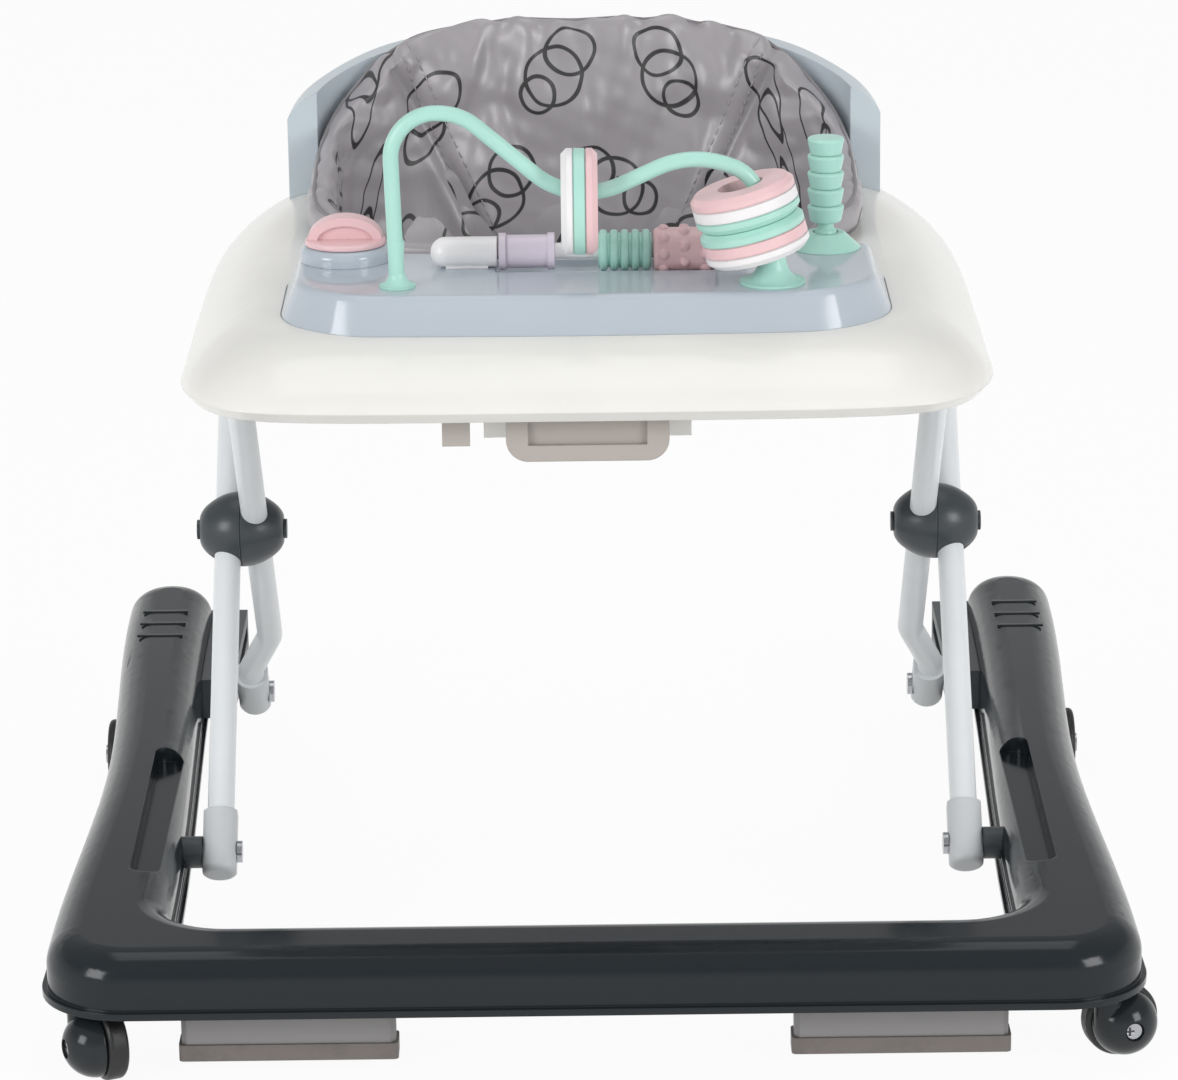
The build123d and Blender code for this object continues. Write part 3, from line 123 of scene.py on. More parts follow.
class Signal:
    """A shader socket that takes part in Python sums."""

    def __init__(self, finish, socket):
        self.finish = finish
        self.socket = socket

    def sum(self, operation, first, second=0.0):
        return self.finish.node("ShaderNodeMath", {"operation": operation}, {0: first, 1: second})

    def __add__(self, other):
        return self.sum("ADD", self, other)

    __radd__ = __add__

    def __sub__(self, other):
        return self.sum("SUBTRACT", self, other)

    def __rsub__(self, other):
        return self.sum("SUBTRACT", other, self)

    def __mul__(self, other):
        return self.sum("MULTIPLY", self, other)

    __rmul__ = __mul__

    def __truediv__(self, other):
        return self.sum("DIVIDE", self, other)

    def __rtruediv__(self, other):
        return self.sum("DIVIDE", other, self)

    def __pow__(self, other):
        return self.sum("POWER", self, other)

    def __mod__(self, other):
        return self.sum("FLOORED_MODULO", self, other)

    def __gt__(self, other):
        return self.sum("GREATER_THAN", self, other)

    def __lt__(self, other):
        return self.sum("LESS_THAN", self, other)

    def __abs__(self):
        return self.sum("ABSOLUTE", self)

    def __floor__(self):
        return self.sum("FLOOR", self)

    def sine(self):
        return self.sum("SINE", self)

    def cosine(self):
        return self.sum("COSINE", self)

    def least(self, other):
        return self.sum("MINIMUM", self, other)

    def most(self, other):
        return self.sum("MAXIMUM", self, other)


class Finish:
    """A node material, or the world, made node by node."""

    def __init__(self, name, tree=None):
        self.material = None
        if tree is None:
            self.material = bpy.data.materials.new(name)
            self.material.use_nodes = True
            tree = self.material.node_tree
        self.tree = tree
        self.tree.nodes.clear()

    def node(self, kind, settings=None, inputs=None, out=0):
        """Adds a node, sets it up, joins its sockets and returns one of its outputs."""
        made = self.tree.nodes.new(kind)
        for key, value in (settings or {}).items():
            setattr(made, key, value)
        for key, value in (inputs or {}).items():
            if isinstance(value, Signal):
                self.tree.links.new(value.socket, made.inputs[key])
            else:
                made.inputs[key].default_value = value
        return Signal(self, made.outputs[out]) if made.outputs else None

    def place(self):
        """Position on the part, in metres."""
        return self.node("ShaderNodeTexCoord", out="Object")

    def axes(self, vector):
        """X, Y and Z of a vector."""
        return [self.node("ShaderNodeSeparateXYZ", None, {0: vector}, k) for k in range(3)]

    def stretch(self, vector, scale):
        """Vector times a scale for each axis."""
        return self.node("ShaderNodeVectorMath", {"operation": "MULTIPLY"}, {0: vector, 1: scale})

    def along(self, vector, direction):
        """Length of a vector along a direction."""
        return self.node("ShaderNodeVectorMath", {"operation": "DOT_PRODUCT"},
                         {0: vector, 1: direction}, out="Value")

    def noise(self, vector, scale, detail=2.0, roughness=0.5):
        """Soft noise from 0 to 1."""
        return self.node("ShaderNodeTexNoise", None,
                         {"Vector": vector, "Scale": scale, "Detail": detail, "Roughness": roughness})

    def fade(self, value, low, high):
        """Smooth step from 0 at low to 1 at high."""
        return self.node("ShaderNodeMapRange", {"interpolation_type": "SMOOTHSTEP"},
                         {"Value": value, "From Min": low, "From Max": high})

    def mix(self, share, first, second):
        """Colour between two colours."""
        pair = {6: first, 7: second}
        pair = {k: v if isinstance(v, Signal) else (*v, 1) for k, v in pair.items()}
        return self.node("ShaderNodeMix", {"data_type": "RGBA"}, {0: share, **pair}, out=2)

    def bump(self, height, strength, distance, normal=None):
        """Normal of a fine relief."""
        inputs = {"Height": height, "Strength": strength, "Distance": distance}
        if normal is not None:
            inputs["Normal"] = normal
        return self.node("ShaderNodeBump", None, inputs)

    def shade(self, **sockets):
        """Main shader and output."""
        surface = self.node("ShaderNodeBsdfPrincipled", None,
                            {key.replace("_", " "): value for key, value in sockets.items()})
        self.node("ShaderNodeOutputMaterial", None, {"Surface": surface})
        return self


def shaded(colour, factor):
    """Colour made darker or lighter, kept in range."""
    return tuple(min(1.0, c * factor) for c in colour)


def moulded(name, colour, roughness, peel=0.1, wear=0.3, dust=0.0, shine=0.5, paint=None):
    """Moulded plastic: slight drift of colour and gloss, soft edges with a little wear, fine grain."""
    f = Finish(name)
    place = f.place()
    drift = f.noise(place, scale=14, detail=3)
    scuff = f.noise(f.stretch(place, (90, 420, 420)), scale=1, detail=4, roughness=0.65)
    soft_edge = f.node("ShaderNodeBevel", {"samples": 4}, {"Radius": 0.0011})
    face = f.node("ShaderNodeNewGeometry", out="Normal")
    edge = f.fade(1 - f.along(soft_edge, face), low=0.02, high=0.25)
    skin = f.mix(drift, shaded(colour, 0.95), shaded(colour, 1.05))
    if paint is not None:
        skin = paint(f, place, skin)
    skin = f.mix(edge * (scuff * wear), skin, shaded(colour, 1.35))
    if dust:
        near_floor = 1 - f.fade(f.axes(place)[2], low=0.0, high=0.06)
        specks = f.noise(place, scale=60, detail=5, roughness=0.7)
        skin = f.mix(near_floor * (specks * dust), skin, tone(120, 118, 114))
    scratched = f.fade(scuff, low=0.58, high=0.8)
    gloss = roughness + (drift - 0.5) * 0.06 + scratched * 0.07 + edge * 0.05
    relief = f.bump(f.noise(place, scale=900), strength=peel, distance=0.00012, normal=soft_edge)
    return f.shade(Base_Color=skin, Roughness=gloss, Normal=relief, Specular_IOR_Level=shine)


def tube_paint(name, colour):
    """Powder paint on steel tube."""
    f = Finish(name)
    place = f.place()
    drift = f.noise(place, scale=22, detail=3)
    grain = f.noise(place, scale=1900)
    skin = f.mix(drift, shaded(colour, 0.95), shaded(colour, 1.04))
    skin = f.mix(f.fade(grain, low=0.62, high=0.75) * 0.18, skin, shaded(colour, 0.8))
    streak = f.noise(f.stretch(place, (300, 40, 300)), scale=1, detail=3, roughness=0.6)
    rub = f.fade(streak, low=0.6, high=0.8)
    return f.shade(Base_Color=skin, Roughness=0.34 + (drift - 0.5) * 0.1 - rub * 0.08,
                   Normal=f.bump(grain, strength=0.18, distance=0.0001),
                   Coat_Weight=0.15, Coat_Roughness=0.2)


def tyre_rubber(name, colour):
    """Black rubber: fine mould grain, dusty near the floor."""
    f = Finish(name)
    place = f.place()
    grain = f.noise(place, scale=700, detail=4, roughness=0.6)
    dust = f.fade(f.noise(place, scale=45, detail=5, roughness=0.7), low=0.42, high=0.75)
    near_floor = 1 - f.fade(f.axes(place)[2], low=0.0, high=0.012)
    skin = f.mix(dust * 0.25 + near_floor * 0.25, colour, tone(74, 72, 69))
    return f.shade(Base_Color=skin, Roughness=0.42 + dust * 0.25 + (grain - 0.5) * 0.1,
                   Normal=f.bump(grain, strength=0.3, distance=0.0003))


def plated_steel(name, colour, recess=None):
    """Bright plated steel with fine turning marks, and a cross recess at the tip of a screw, painted almost
    black as painted shade and pressed in as a bump.
    """
    f = Finish(name)
    place = f.place()
    marks = f.noise(f.stretch(place, (1400, 1400, 1400)), scale=1, detail=3, roughness=0.6)
    cloud = f.noise(place, scale=160, detail=3)
    skin = f.mix(f.fade(cloud, low=0.4, high=0.7) * 0.4, colour, shaded(colour, 0.72))
    height = marks * 0.1
    if recess is not None:
        tip, side = recess
        across = abs(f.along(place, side) - tip.dot(side))
        up = abs(f.axes(place)[2] - tip.z)
        bars = 1 - f.fade(across.least(up), low=0.0005, high=0.0008)
        ends = 1 - f.fade(across.most(up), low=0.0025, high=0.0029)
        cross = bars * ends
        # Painted shade: the cross recess is coloured almost black, and the same mask presses it in as a bump
        skin = f.mix(cross * 0.85, skin, shaded(colour, 0.04))
        height = height - cross
    return f.shade(Base_Color=skin, Metallic=1.0, Roughness=0.24 + (cloud - 0.5) * 0.14,
                   Normal=f.bump(height, strength=0.5, distance=0.0004))


def layered(name, low, middle, high, centre, axis):
    """Toy disc moulded in three colours along its axis."""
    inner, outer = 0.0031, 0.0035

    def layers(f, place, skin):
        level = f.along(place, axis) - sum(a * b for a, b in zip(centre, axis))
        upper = f.mix(f.fade(level, inner, outer), middle, high)
        return f.mix(f.fade(level, -outer, -inner), low, upper)
    return moulded(name, middle, 0.33, peel=0.06, wear=0.15, paint=layers)


def seat_cloth(name, colours, sizes):
    """Satin seat cloth with a printed layout of overlapping rings, a fine weave and soft creases."""
    f = Finish(name)
    thread_pitch, shift, drawn_wobble = 0.0008, 0.14, 0.0045
    plan = f.node("ShaderNodeUVMap", {"uv_map": "cloth_plan"})
    wobble = f.node("ShaderNodeTexNoise", {"noise_dimensions": "2D"},
                    {"Vector": plan, "Scale": 38.0, "Detail": 1.0}, out="Color")
    wobble = f.node("ShaderNodeVectorMath", {"operation": "SUBTRACT"}, {0: wobble, 1: (0.5, 0.5, 0.5)})
    drawn = f.node("ShaderNodeVectorMath", {"operation": "ADD"},
                   {0: plan, 1: f.stretch(wobble, (drawn_wobble, drawn_wobble, 0))})
    along, up, _ = f.axes(drawn)
    cell = sizes.ring_cell
    rows = up / cell + 0.35
    row = math.floor(rows)
    columns = along / cell + (row % 2.0) * 0.5
    column = math.floor(columns)
    number = f.node("ShaderNodeCombineXYZ", None, {0: column, 1: row})
    chance = f.node("ShaderNodeTexWhiteNoise", {"noise_dimensions": "2D"}, {"Vector": number}, out="Color")
    first, second, third = f.axes(chance)
    x = columns - column - 0.5 - (first - 0.5) * shift
    y = rows - row - 0.5 - (second - 0.5) * shift

    def ring(x, y, radius):
        return abs((x * x + y * y) ** 0.5 - radius)

    turn = third * math.tau
    big = ring(x, y, 0.24)
    small = ring(x - turn.cosine() * 0.25, y - turn.sine() * 0.25, 0.2)
    tiny = ring(x + turn.cosine() * 0.25, y + turn.sine() * 0.17, 0.15) + (first > 0.5) * 1.0
    ink = 1 - f.fade(big.least(small).least(tiny), low=0.0135, high=0.0195)

    place = f.place()
    warp = (along * (math.tau / thread_pitch)).sine()
    weft = (up * (math.tau / thread_pitch)).sine()
    weave = warp * weft
    crease = f.noise(f.stretch(place, (46, 46, 12)), scale=1, detail=4)
    cloud = f.noise(place, scale=9, detail=3)
    skin = f.mix(cloud, shaded(colours.cloth, 0.93), shaded(colours.cloth, 1.06))
    skin = f.mix((weave + 1) * 0.05, skin, shaded(colours.cloth, 0.6))
    skin = f.mix(ink * 0.98, skin, colours.ink)
    gloss = 0.36 + (crease - 0.5) * 0.14 + ink * 0.1 + weave * 0.03
    fine = f.bump(weave, strength=0.12, distance=0.00008)
    relief = f.bump(crease, strength=0.4, distance=0.003, normal=fine)
    return f.shade(Base_Color=skin, Roughness=gloss, Normal=relief,
                   Sheen_Weight=0.15, Sheen_Roughness=0.35, Specular_IOR_Level=0.8)


def thread_finish(name, colour):
    """Twisted thread or piping, with its grooves between the plies painted darker as painted shade."""
    ply_pitch = 0.0011
    f = Finish(name)
    x, y, z = f.axes(f.place())
    twist = ((x + y * 0.7 + z * 1.3) * (math.tau / ply_pitch)).sine()
    # Painted shade: the thread is darker where the twist bump is low, in the grooves between the plies
    skin = f.mix((twist + 1) * 0.5, shaded(colour, 0.8), colour)
    return f.shade(Base_Color=skin, Roughness=0.62 + twist * 0.05,
                   Normal=f.bump(twist, strength=0.3, distance=0.0002))


def dress(finish, *names):
    """Gives CAD nodes a finish."""
    for name in names:
        for slot in nodes[name].material_slots:
            slot.material = finish.material


def sided(*names):
    """Left and right names of paired nodes."""
    return [f"{side}_{name}" for name in names for side in ("left", "right")]


def middle_of(name):
    """Middle of a CAD node's box."""
    low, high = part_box(name)
    return (np.array(low) + np.array(high)) / 2


def add_sewn(name, mesh, material):
    """New sewn piece of the seat, which rides on the tray."""
    piece = bpy.data.objects.new(name, mesh)
    bpy.context.scene.collection.objects.link(piece)
    mesh.materials.append(material)
    mesh.shade_smooth()
    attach(piece, "tray")
    return piece


def mesh_of(name, points, faces):
    """Mesh from its points and faces."""
    mesh = bpy.data.meshes.new(name)
    mesh.from_pydata([tuple(map(float, p)) for p in points], [], faces)
    mesh.update()
    return mesh


def rows_of(items, key):
    """Three numbers of each item, in rows."""
    found = np.empty(len(items) * 3)
    items.foreach_get(key, found)
    return found.reshape(-1, 3)


def points_of(mesh):
    """Points of a mesh."""
    return rows_of(mesh.vertices, "co")


def set_points(mesh, points):
    """Moves the points of a mesh."""
    mesh.vertices.foreach_set("co", np.asarray(points, dtype=float).ravel())
    mesh.update()


def normals_of(mesh):
    """Normals at the points of a mesh."""
    return rows_of(mesh.vertex_normals, "vector")


def tubes(name, runs, radius, sides=8, closed=False):
    """One mesh of round tubes along runs of points; open ones have narrow ends."""
    lead, end_share = Vector((0.31, 0.17, 0.93)), 0.45
    points, faces = [], []
    for run in runs:
        run = [Vector(p) for p in run]
        start, count = len(points), len(run)
        for k, middle in enumerate(run):
            before = run[k - 1] if closed or k else run[0]
            after = run[(k + 1) % count] if closed or k < count - 1 else run[-1]
            direction = (after - before).normalized()
            across = direction.cross(lead).normalized()
            rise = across.cross(direction)
            end = not closed and k in (0, count - 1)
            size = radius * (end_share if end else 1.0)
            for s in range(sides):
                turn = math.tau * s / sides
                points.append(middle + (across * math.cos(turn) + rise * math.sin(turn)) * size)
        for k in range(count if closed else count - 1):
            low, high = start + k * sides, start + (k + 1) % count * sides
            for s in range(sides):
                after = (s + 1) % sides
                faces.append((low + s, low + after, high + after, high + s))
        if not closed:
            faces.append(tuple(range(start, start + sides))[::-1])
            faces.append(tuple(range(start + (count - 1) * sides, start + count * sides)))
    return mesh_of(name, points, faces)


def oval(angle, half_width, half_length, power, middle):
    """Point of a squared oval about (0, middle)."""
    c, s = np.cos(angle), np.sin(angle)
    x = half_width * np.sign(c) * np.abs(c) ** (2 / power)
    y = middle + half_length * np.sign(s) * np.abs(s) ** (2 / power)
    return x, y


def ramp(value, start, length):
    """Straight rise from 0 at a start to 1 after a length."""
    return np.clip((value - start) / length, 0, 1)


def bell(value, width):
    """1 at nought, falling off smoothly over a width."""
    return np.exp(-(value / width) ** 2)


def soften(line, rounds):
    """Rounds off a line of points or numbers in place, with its ends held."""
    for _ in range(rounds):
        line[1:-1] = (line[:-2] + line[1:-1] * 2 + line[2:]) / 4


def grid_faces(rows, columns):
    """Four-sided faces between rows of points that each close on themselves."""
    faces = []
    for k in range(rows - 1):
        for j in range(columns):
            a, b = k * columns + j, k * columns + (j + 1) % columns
            faces.append((a, a + columns, b + columns, b))
    return faces


def spread_evenly(points, count, closed=False):
    """Points at even steps along a line, and how far along each one is."""
    if closed:
        points = np.vstack((points, points[:1]))
    steps = np.linalg.norm(np.diff(points, axis=0), axis=1)
    run = np.concatenate(([0], np.cumsum(steps)))
    at = np.linspace(0, run[-1], count, endpoint=not closed)
    return np.column_stack([np.interp(at, run, points[:, k]) for k in range(points.shape[1])]), at


def settle(piece, pins, frames, pressure, gravity, slack, cap):
    """Lets the cloth of a piece settle, then keeps the settled points, moved by cap at most."""
    rest = points_of(piece.data)
    group = piece.vertex_groups.new(name="held")
    for index, weight in enumerate(pins):
        if weight > 0:
            group.add([index], float(weight), "REPLACE")
    modifier = piece.modifiers.new("cloth", "CLOTH")
    settings = dict(quality=6, mass=0.25, tension_stiffness=12, compression_stiffness=12, shear_stiffness=5,
                    bending_stiffness=0.4, vertex_group_mass="held", pin_stiffness=1, shrink_min=-slack,
                    shrink_max=-slack, use_pressure=pressure > 0, uniform_pressure_force=pressure)
    for key, value in settings.items():
        setattr(modifier.settings, key, value)
    modifier.settings.effector_weights.gravity = gravity
    scene = bpy.context.scene
    for step in range(1, frames + 1):
        scene.frame_set(step)
    seen = piece.evaluated_get(bpy.context.evaluated_depsgraph_get())
    settled = points_of(seen.data)
    piece.modifiers.remove(modifier)
    piece.vertex_groups.remove(group)
    scene.frame_set(1)
    move = settled - rest
    if not np.isfinite(move).all():
        raise RuntimeError(f"{piece.name}: the cloth did not settle")
    length = np.linalg.norm(move, axis=1, keepdims=True)
    set_points(piece.data, rest + move * np.minimum(1, cap / np.maximum(length, 1e-9)))


def subdivide(piece):
    """Divides a piece once and keeps the smoother mesh."""
    modifier = piece.modifiers.new("smooth", "SUBSURF")
    modifier.levels = 1
    seen = piece.evaluated_get(bpy.context.evaluated_depsgraph_get())
    mesh = bpy.data.meshes.new_from_object(seen)
    piece.modifiers.remove(modifier)
    old, piece.data = piece.data, mesh
    bpy.data.meshes.remove(old)


def write_plan(mesh, plan, floor=None):
    """Stores the flat place of each point of a cloth for its print.

    Faces below floor keep their own place from above.
    """
    layer = mesh.uv_layers.new(name="cloth_plan")
    corner = np.empty(len(mesh.loops), dtype=int)
    mesh.loops.foreach_get("vertex_index", corner)
    places = np.asarray(plan)[corner]
    if floor is not None:
        points = points_of(mesh)
        for face in mesh.polygons:
            if all(points[v, 2] < floor for v in face.vertices):
                places[face.loop_indices] = points[list(face.vertices), :2]
    layer.data.foreach_set("uv", places.ravel())


class Folds:
    """Seams and folds of the pad, in metres; a pleat's place, width and start are shares of the panel."""
    seam_width = 0.0042
    lip_distance = 0.009
    lip_width = 0.005
    lip_height = 0.0008
    ripple = 0.0004
    gather = 0.0012
    crumple = 0.0011
    # Place across the panel, width, depth and height where the pleat starts
    pleats = ((-0.72, 0.10, 0.8, 0.2), (-0.44, 0.08, 1.0, 0.35), (-0.17, 0.09, 0.75, 0.0),
              (0.06, 0.07, 1.0, 0.3), (0.31, 0.10, 0.85, 0.1), (0.55, 0.07, 0.9, 0.4),
              (0.8, 0.08, 0.7, 0.25))


class Seat:
    """Places of the seat's cloth, in metres."""
    # Plan of the pad, a squared oval that is open at the front, and the height of the tray's top
    middle = 0.020
    half_width = 0.1645
    half_length = 0.1215
    power = 4.0
    end_angle = -0.775
    foot = 0.4247
    # Height of the pad's edge, by distance from the middle and by place from front to back
    crown = ((0.0, 0.518), (0.05, 0.517), (0.08, 0.5125), (0.105, 0.5045), (0.125, 0.494),
             (0.145, 0.476), (0.158, 0.457), (0.165, 0.437))
    slope = ((-0.082, 0.4335), (0.0, 0.447), (0.07, 0.464), (0.1, 0.495), (0.118, 0.53))
    # Back panel: where it starts, and the height and distance of its two seams
    back_start = 0.075
    back_blend = 0.03
    back_height = 0.155
    seam_low = (0.375, 0.061)
    seam_high = (0.506, 0.122)
    # Cloth of the pad that runs on down into the bowl
    apron = 0.064
    apron_room = 0.009
    apron_gap = 0.006
    apron_cloth = 0.0018
    apron_end = 0.002
    # Rows of the pad's grid, the row under the piping and the tallest rounding of the pad's edge
    wall_rows = 15
    brow_rows = 7
    sole_rows = 5
    apron_rows = 13
    piping_row = wall_rows + 1
    tallest_brow = 0.007
    # The tray's seat opening, and the sling's height and inset down to its bottom
    opening_half_width = 0.158
    opening_half_length = 0.112
    opening_middle = 0.015
    opening_power = 3.0
    bowl = ((0.4243, 0.0022), (0.40, 0.0045), (0.3703, 0.0095), (0.3363, 0.0275),
            (0.3222, 0.045), (0.3143, 0.064))
    # Hem of the sling on the tray's edge: growth beyond the opening, and height
    hem = ((0.0042, 0.4192), (0.0046, 0.4215), (0.0034, 0.4236), (0.0012, 0.4243))
    girth = 0.86
    bowl_rows = 26
    bottom_rows = 12
    bottom_sag = 0.002
    bottom_step = 0.0085
    # Leg holes: distance from the middle, place from front to back, and radius
    leg_hole = (0.062, -0.014, 0.046)
    leg_hole_top = 0.368

    @classmethod
    def top(cls, x, y):
        """Height of the pad's edge at a place."""
        crown = np.interp(np.abs(x), *zip(*cls.crown))
        slope = np.interp(y, *zip(*cls.slope))
        return np.minimum(crown, slope)

    @classmethod
    def over_edge(cls, x, y, room):
        """Above 1 outside the tray's seat opening, drawn in by some room."""
        across = np.abs(x) / (cls.opening_half_width - room)
        along = np.abs(y - cls.opening_middle) / (cls.opening_half_length - room)
        return across ** cls.opening_power + along ** cls.opening_power

    @classmethod
    def bowl_lead(cls, z):
        """How far the cloth leans in below the tray's edge, to stay inside the sling."""
        level, inset = zip(*cls.bowl[::-1])
        return max(0.0, np.interp(z, level, inset) + cls.apron_gap - cls.apron_room)

    @classmethod
    def seam_at(cls, z):
        """Distance of the two seams from the middle at a height."""
        return np.interp(z, *zip(cls.seam_low, cls.seam_high))


def pad_thickness(path, share, sizes):
    """Thickness of the pad at its stations: thin behind the child, fuller at the sides and rear corners."""
    wing = ramp(share, 0.28, 0.2)
    thick = sizes.pad_thickness + (sizes.wing_thickness - sizes.pad_thickness) * wing * wing * (3 - 2 * wing)
    corner = np.abs(path[:, 0]) / Seat.half_width * (path[:, 1] - Seat.middle) / Seat.half_length
    return thick + sizes.corner_fill * ramp(corner, 0.25, 0.45) ** 2


def apron_lead(inner, inward):
    """How far the pad's face may lean in at each station and still pass inside the tray's opening."""
    furthest, tries, rounds = 0.032, 65, 30
    lead = np.zeros(len(inner))
    for step in np.linspace(furthest, 0, tries):
        x, y = (inner + inward * step).T
        lead = np.where(Seat.over_edge(x, y, Seat.apron_room) <= 1, step, lead)
    soften(lead, rounds)
    return lead


def pad_section(depth, high, low, lead, drop):
    """Closed section of the pad as inset, height and part: 0 back, 1 brow, 2 face, 3 apron and sole."""
    lean = 1.5
    foot, cloth = Seat.foot, Seat.apron_cloth
    dip = min(depth / 2, Seat.tallest_brow)
    wall = np.linspace(0, 1, Seat.wall_rows)
    section = [(0.0, foot + (high - foot) * w, 0) for w in wall]
    for turn in np.linspace(0, math.pi, Seat.brow_rows)[1:-1]:
        swing = (1 - math.cos(turn)) / 2
        section.append((depth * swing, high + (low - high) * swing + dip * math.sin(turn), 1))
    for w in wall[::-1]:
        section.append((depth + lead * (1 - w) ** lean, foot + (low - foot) * w, 2))
    hem = depth + lead
    skirt = [(hem + Seat.bowl_lead(foot - drop * w), foot - drop * w, 3)
             for w in np.linspace(0, 1, Seat.apron_rows)]
    section += skirt[1:]
    section += [(inset - cloth, z, 3) for inset, z, _ in skirt[::-2]]
    section += [((hem - cloth) * w, foot, 3) for w in np.linspace(1, 0, Seat.sole_rows)[1:-1]]
    return section


def pad_grid(sizes):
    """Grid of the pad: stations along the seat's back and sides, each a closed section."""
    angle = np.linspace(Seat.end_angle, math.pi - Seat.end_angle, fine_steps)
    path = np.column_stack(oval(angle, Seat.half_width, Seat.half_length, Seat.power, Seat.middle))
    length = np.linalg.norm(np.diff(path, axis=0), axis=1).sum()
    count = int(length / sizes.cell_size)
    path, run = spread_evenly(path, count)
    ahead = np.gradient(path, axis=0)
    ahead /= np.linalg.norm(ahead, axis=1, keepdims=True)
    inward = np.column_stack((-ahead[:, 1], ahead[:, 0]))
    share = np.abs(run / length * 2 - 1)
    thick = pad_thickness(path, share, sizes)
    end = ramp(1 - share, 0, 0.06)
    taper = 0.45 + 0.55 * np.sqrt(1 - (1 - end) ** 2)
    inner = path + inward * thick[:, None]
    outer_top, inner_top = Seat.top(*path.T), Seat.top(*inner.T)
    soften(outer_top, 10)
    soften(inner_top, 10)
    inner_top = np.maximum(inner_top, outer_top - 0.002)
    lead = apron_lead(inner, inward)
    face = inner + inward * lead[:, None] / 2
    inner_run = np.concatenate(([0], np.cumsum(np.linalg.norm(np.diff(face, axis=0), axis=1))))
    points, plan, kind = [], [], []
    for k in range(count):
        depth = thick[k] * taper[k]
        dip = min(depth / 2, Seat.tallest_brow)
        high, low = (Seat.foot + (top[k] - dip - Seat.foot) * (0.8 + 0.2 * taper[k])
                     for top in (outer_top, inner_top))
        section = pad_section(depth, high, low, lead[k], Seat.apron_end + Seat.apron * end[k])
        flat = 0.0
        for j, (inset, z, part) in enumerate(section):
            x, y = path[k] + inward[k] * inset
            if j:
                flat += math.dist(points[-1], (x, y, z))
            points.append((x, y, z))
            plan.append((inner_run[k], -flat))
            kind.append(part)
    around = len(section)
    faces = grid_faces(count, around)
    faces.append(tuple(range(around)))
    faces.append(tuple(range((count - 1) * around, count * around))[::-1])
    return np.array(points), faces, np.array(plan), np.array(kind), around


def pad_folds(piece, sizes):
    """Draws in the seams and lays the soft folds of the back panel and side pads."""
    mesh = piece.data
    points, normals = points_of(mesh), normals_of(mesh)
    x, y, z = points.T
    facing = np.clip(-(normals[:, 0] * x + normals[:, 1] * (y - Seat.middle)) / 0.09, 0, 1)
    facing = np.maximum(facing, np.clip(normals[:, 2], 0, 1) * 0.7)
    back = ramp(y, Seat.back_start, Seat.back_blend)
    seam = Seat.seam_at(z)
    away = np.abs(x) - seam
    groove = bell(away, Folds.seam_width) * back
    lips = bell(np.abs(away) - Folds.lip_distance, Folds.lip_width) * back
    across = np.clip(x / seam, -1, 1)
    rise = np.clip((z - Seat.foot + Seat.apron) / Seat.back_height, 0, 1)
    pleats = np.zeros(len(x))
    for place, width, depth, start in Folds.pleats:
        lean = place + 0.05 * np.sin(rise * 4 + place * 9)
        reach = ramp(rise, start, 0.3)
        pleats -= depth * bell(across - lean, width) * (0.35 + 0.65 * rise) * reach
    inside = np.clip(1 - np.abs(across) ** 8, 0, 1) * back
    ripple = np.sin(x * 310 + z * 140) * np.sin(z * 260 - x * 120 + 1.3)
    gather = np.sin(np.arctan2(x, y - Seat.middle) * 34) * bell(1 - rise, 0.16)
    crumple = np.sin(y * 190 + z * 120) * np.sin(y * 90 - z * 230 + 0.7)
    move = facing * (pleats * inside * sizes.pleat - groove * sizes.seam_depth + lips * Folds.lip_height
                     + ripple * inside * Folds.ripple + gather * back * Folds.gather
                     + crumple * (1 - back) * Folds.crumple)
    points += normals * move[:, None]
    spill = ((np.abs(points[:, 0]) / Seat.half_width) ** Seat.power
             + (np.abs(points[:, 1] - Seat.middle) / Seat.half_length) ** Seat.power)
    pull = np.maximum(spill, 1) ** (-1 / Seat.power)
    points[:, 0] *= pull
    points[:, 1] = Seat.middle + (points[:, 1] - Seat.middle) * pull
    on_tray = Seat.over_edge(points[:, 0], points[:, 1], 0) > 1
    points[:, 2] = np.where(on_tray, np.maximum(points[:, 2], Seat.foot), points[:, 2])
    set_points(mesh, points)


def on_cloth(tree, x, z):
    """Place on the pad's inner face seen from the middle of the seat."""
    start = Vector((x * 0.4, -0.02, z))
    hit = tree.ray_cast(start, Vector((x, 0.135, z)) - start)
    return hit[0], hit[1]


def stitch_runs(tree, sizes):
    """Stitches beside the two seams, as runs of points on the sewn pad."""
    beside, low, high, pitch = 0.0052, 0.37, 0.505, 1.45
    clear, bow, parts = 0.0001, 0.0004, (0.0, 0.33, 0.67, 1.0)
    runs = []
    for side in (-1, 1):
        for offset in (-beside, beside):
            for z in np.arange(low, high, sizes.stitch * pitch):
                run = []
                for part in parts:
                    level = z + sizes.stitch * part
                    place, normal = on_cloth(tree, side * (Seat.seam_at(level) + offset), level)
                    if place is not None:
                        run.append(place + normal * (clear + bow * math.sin(math.pi * part)))
                if len(run) == len(parts):
                    runs.append(run)
    return runs


def piping_line(tree, edge):
    """Line of the piping along the sewn pad's edge, found from above."""
    above, count, rounds = 0.03, 170, 4
    line = [tree.ray_cast(Vector((x, y, z + above)), Vector((0, 0, -1)))[0] for x, y, z in edge]
    line, _ = spread_evenly(np.array([place for place in line if place is not None]), count)
    soften(line, rounds)
    return line


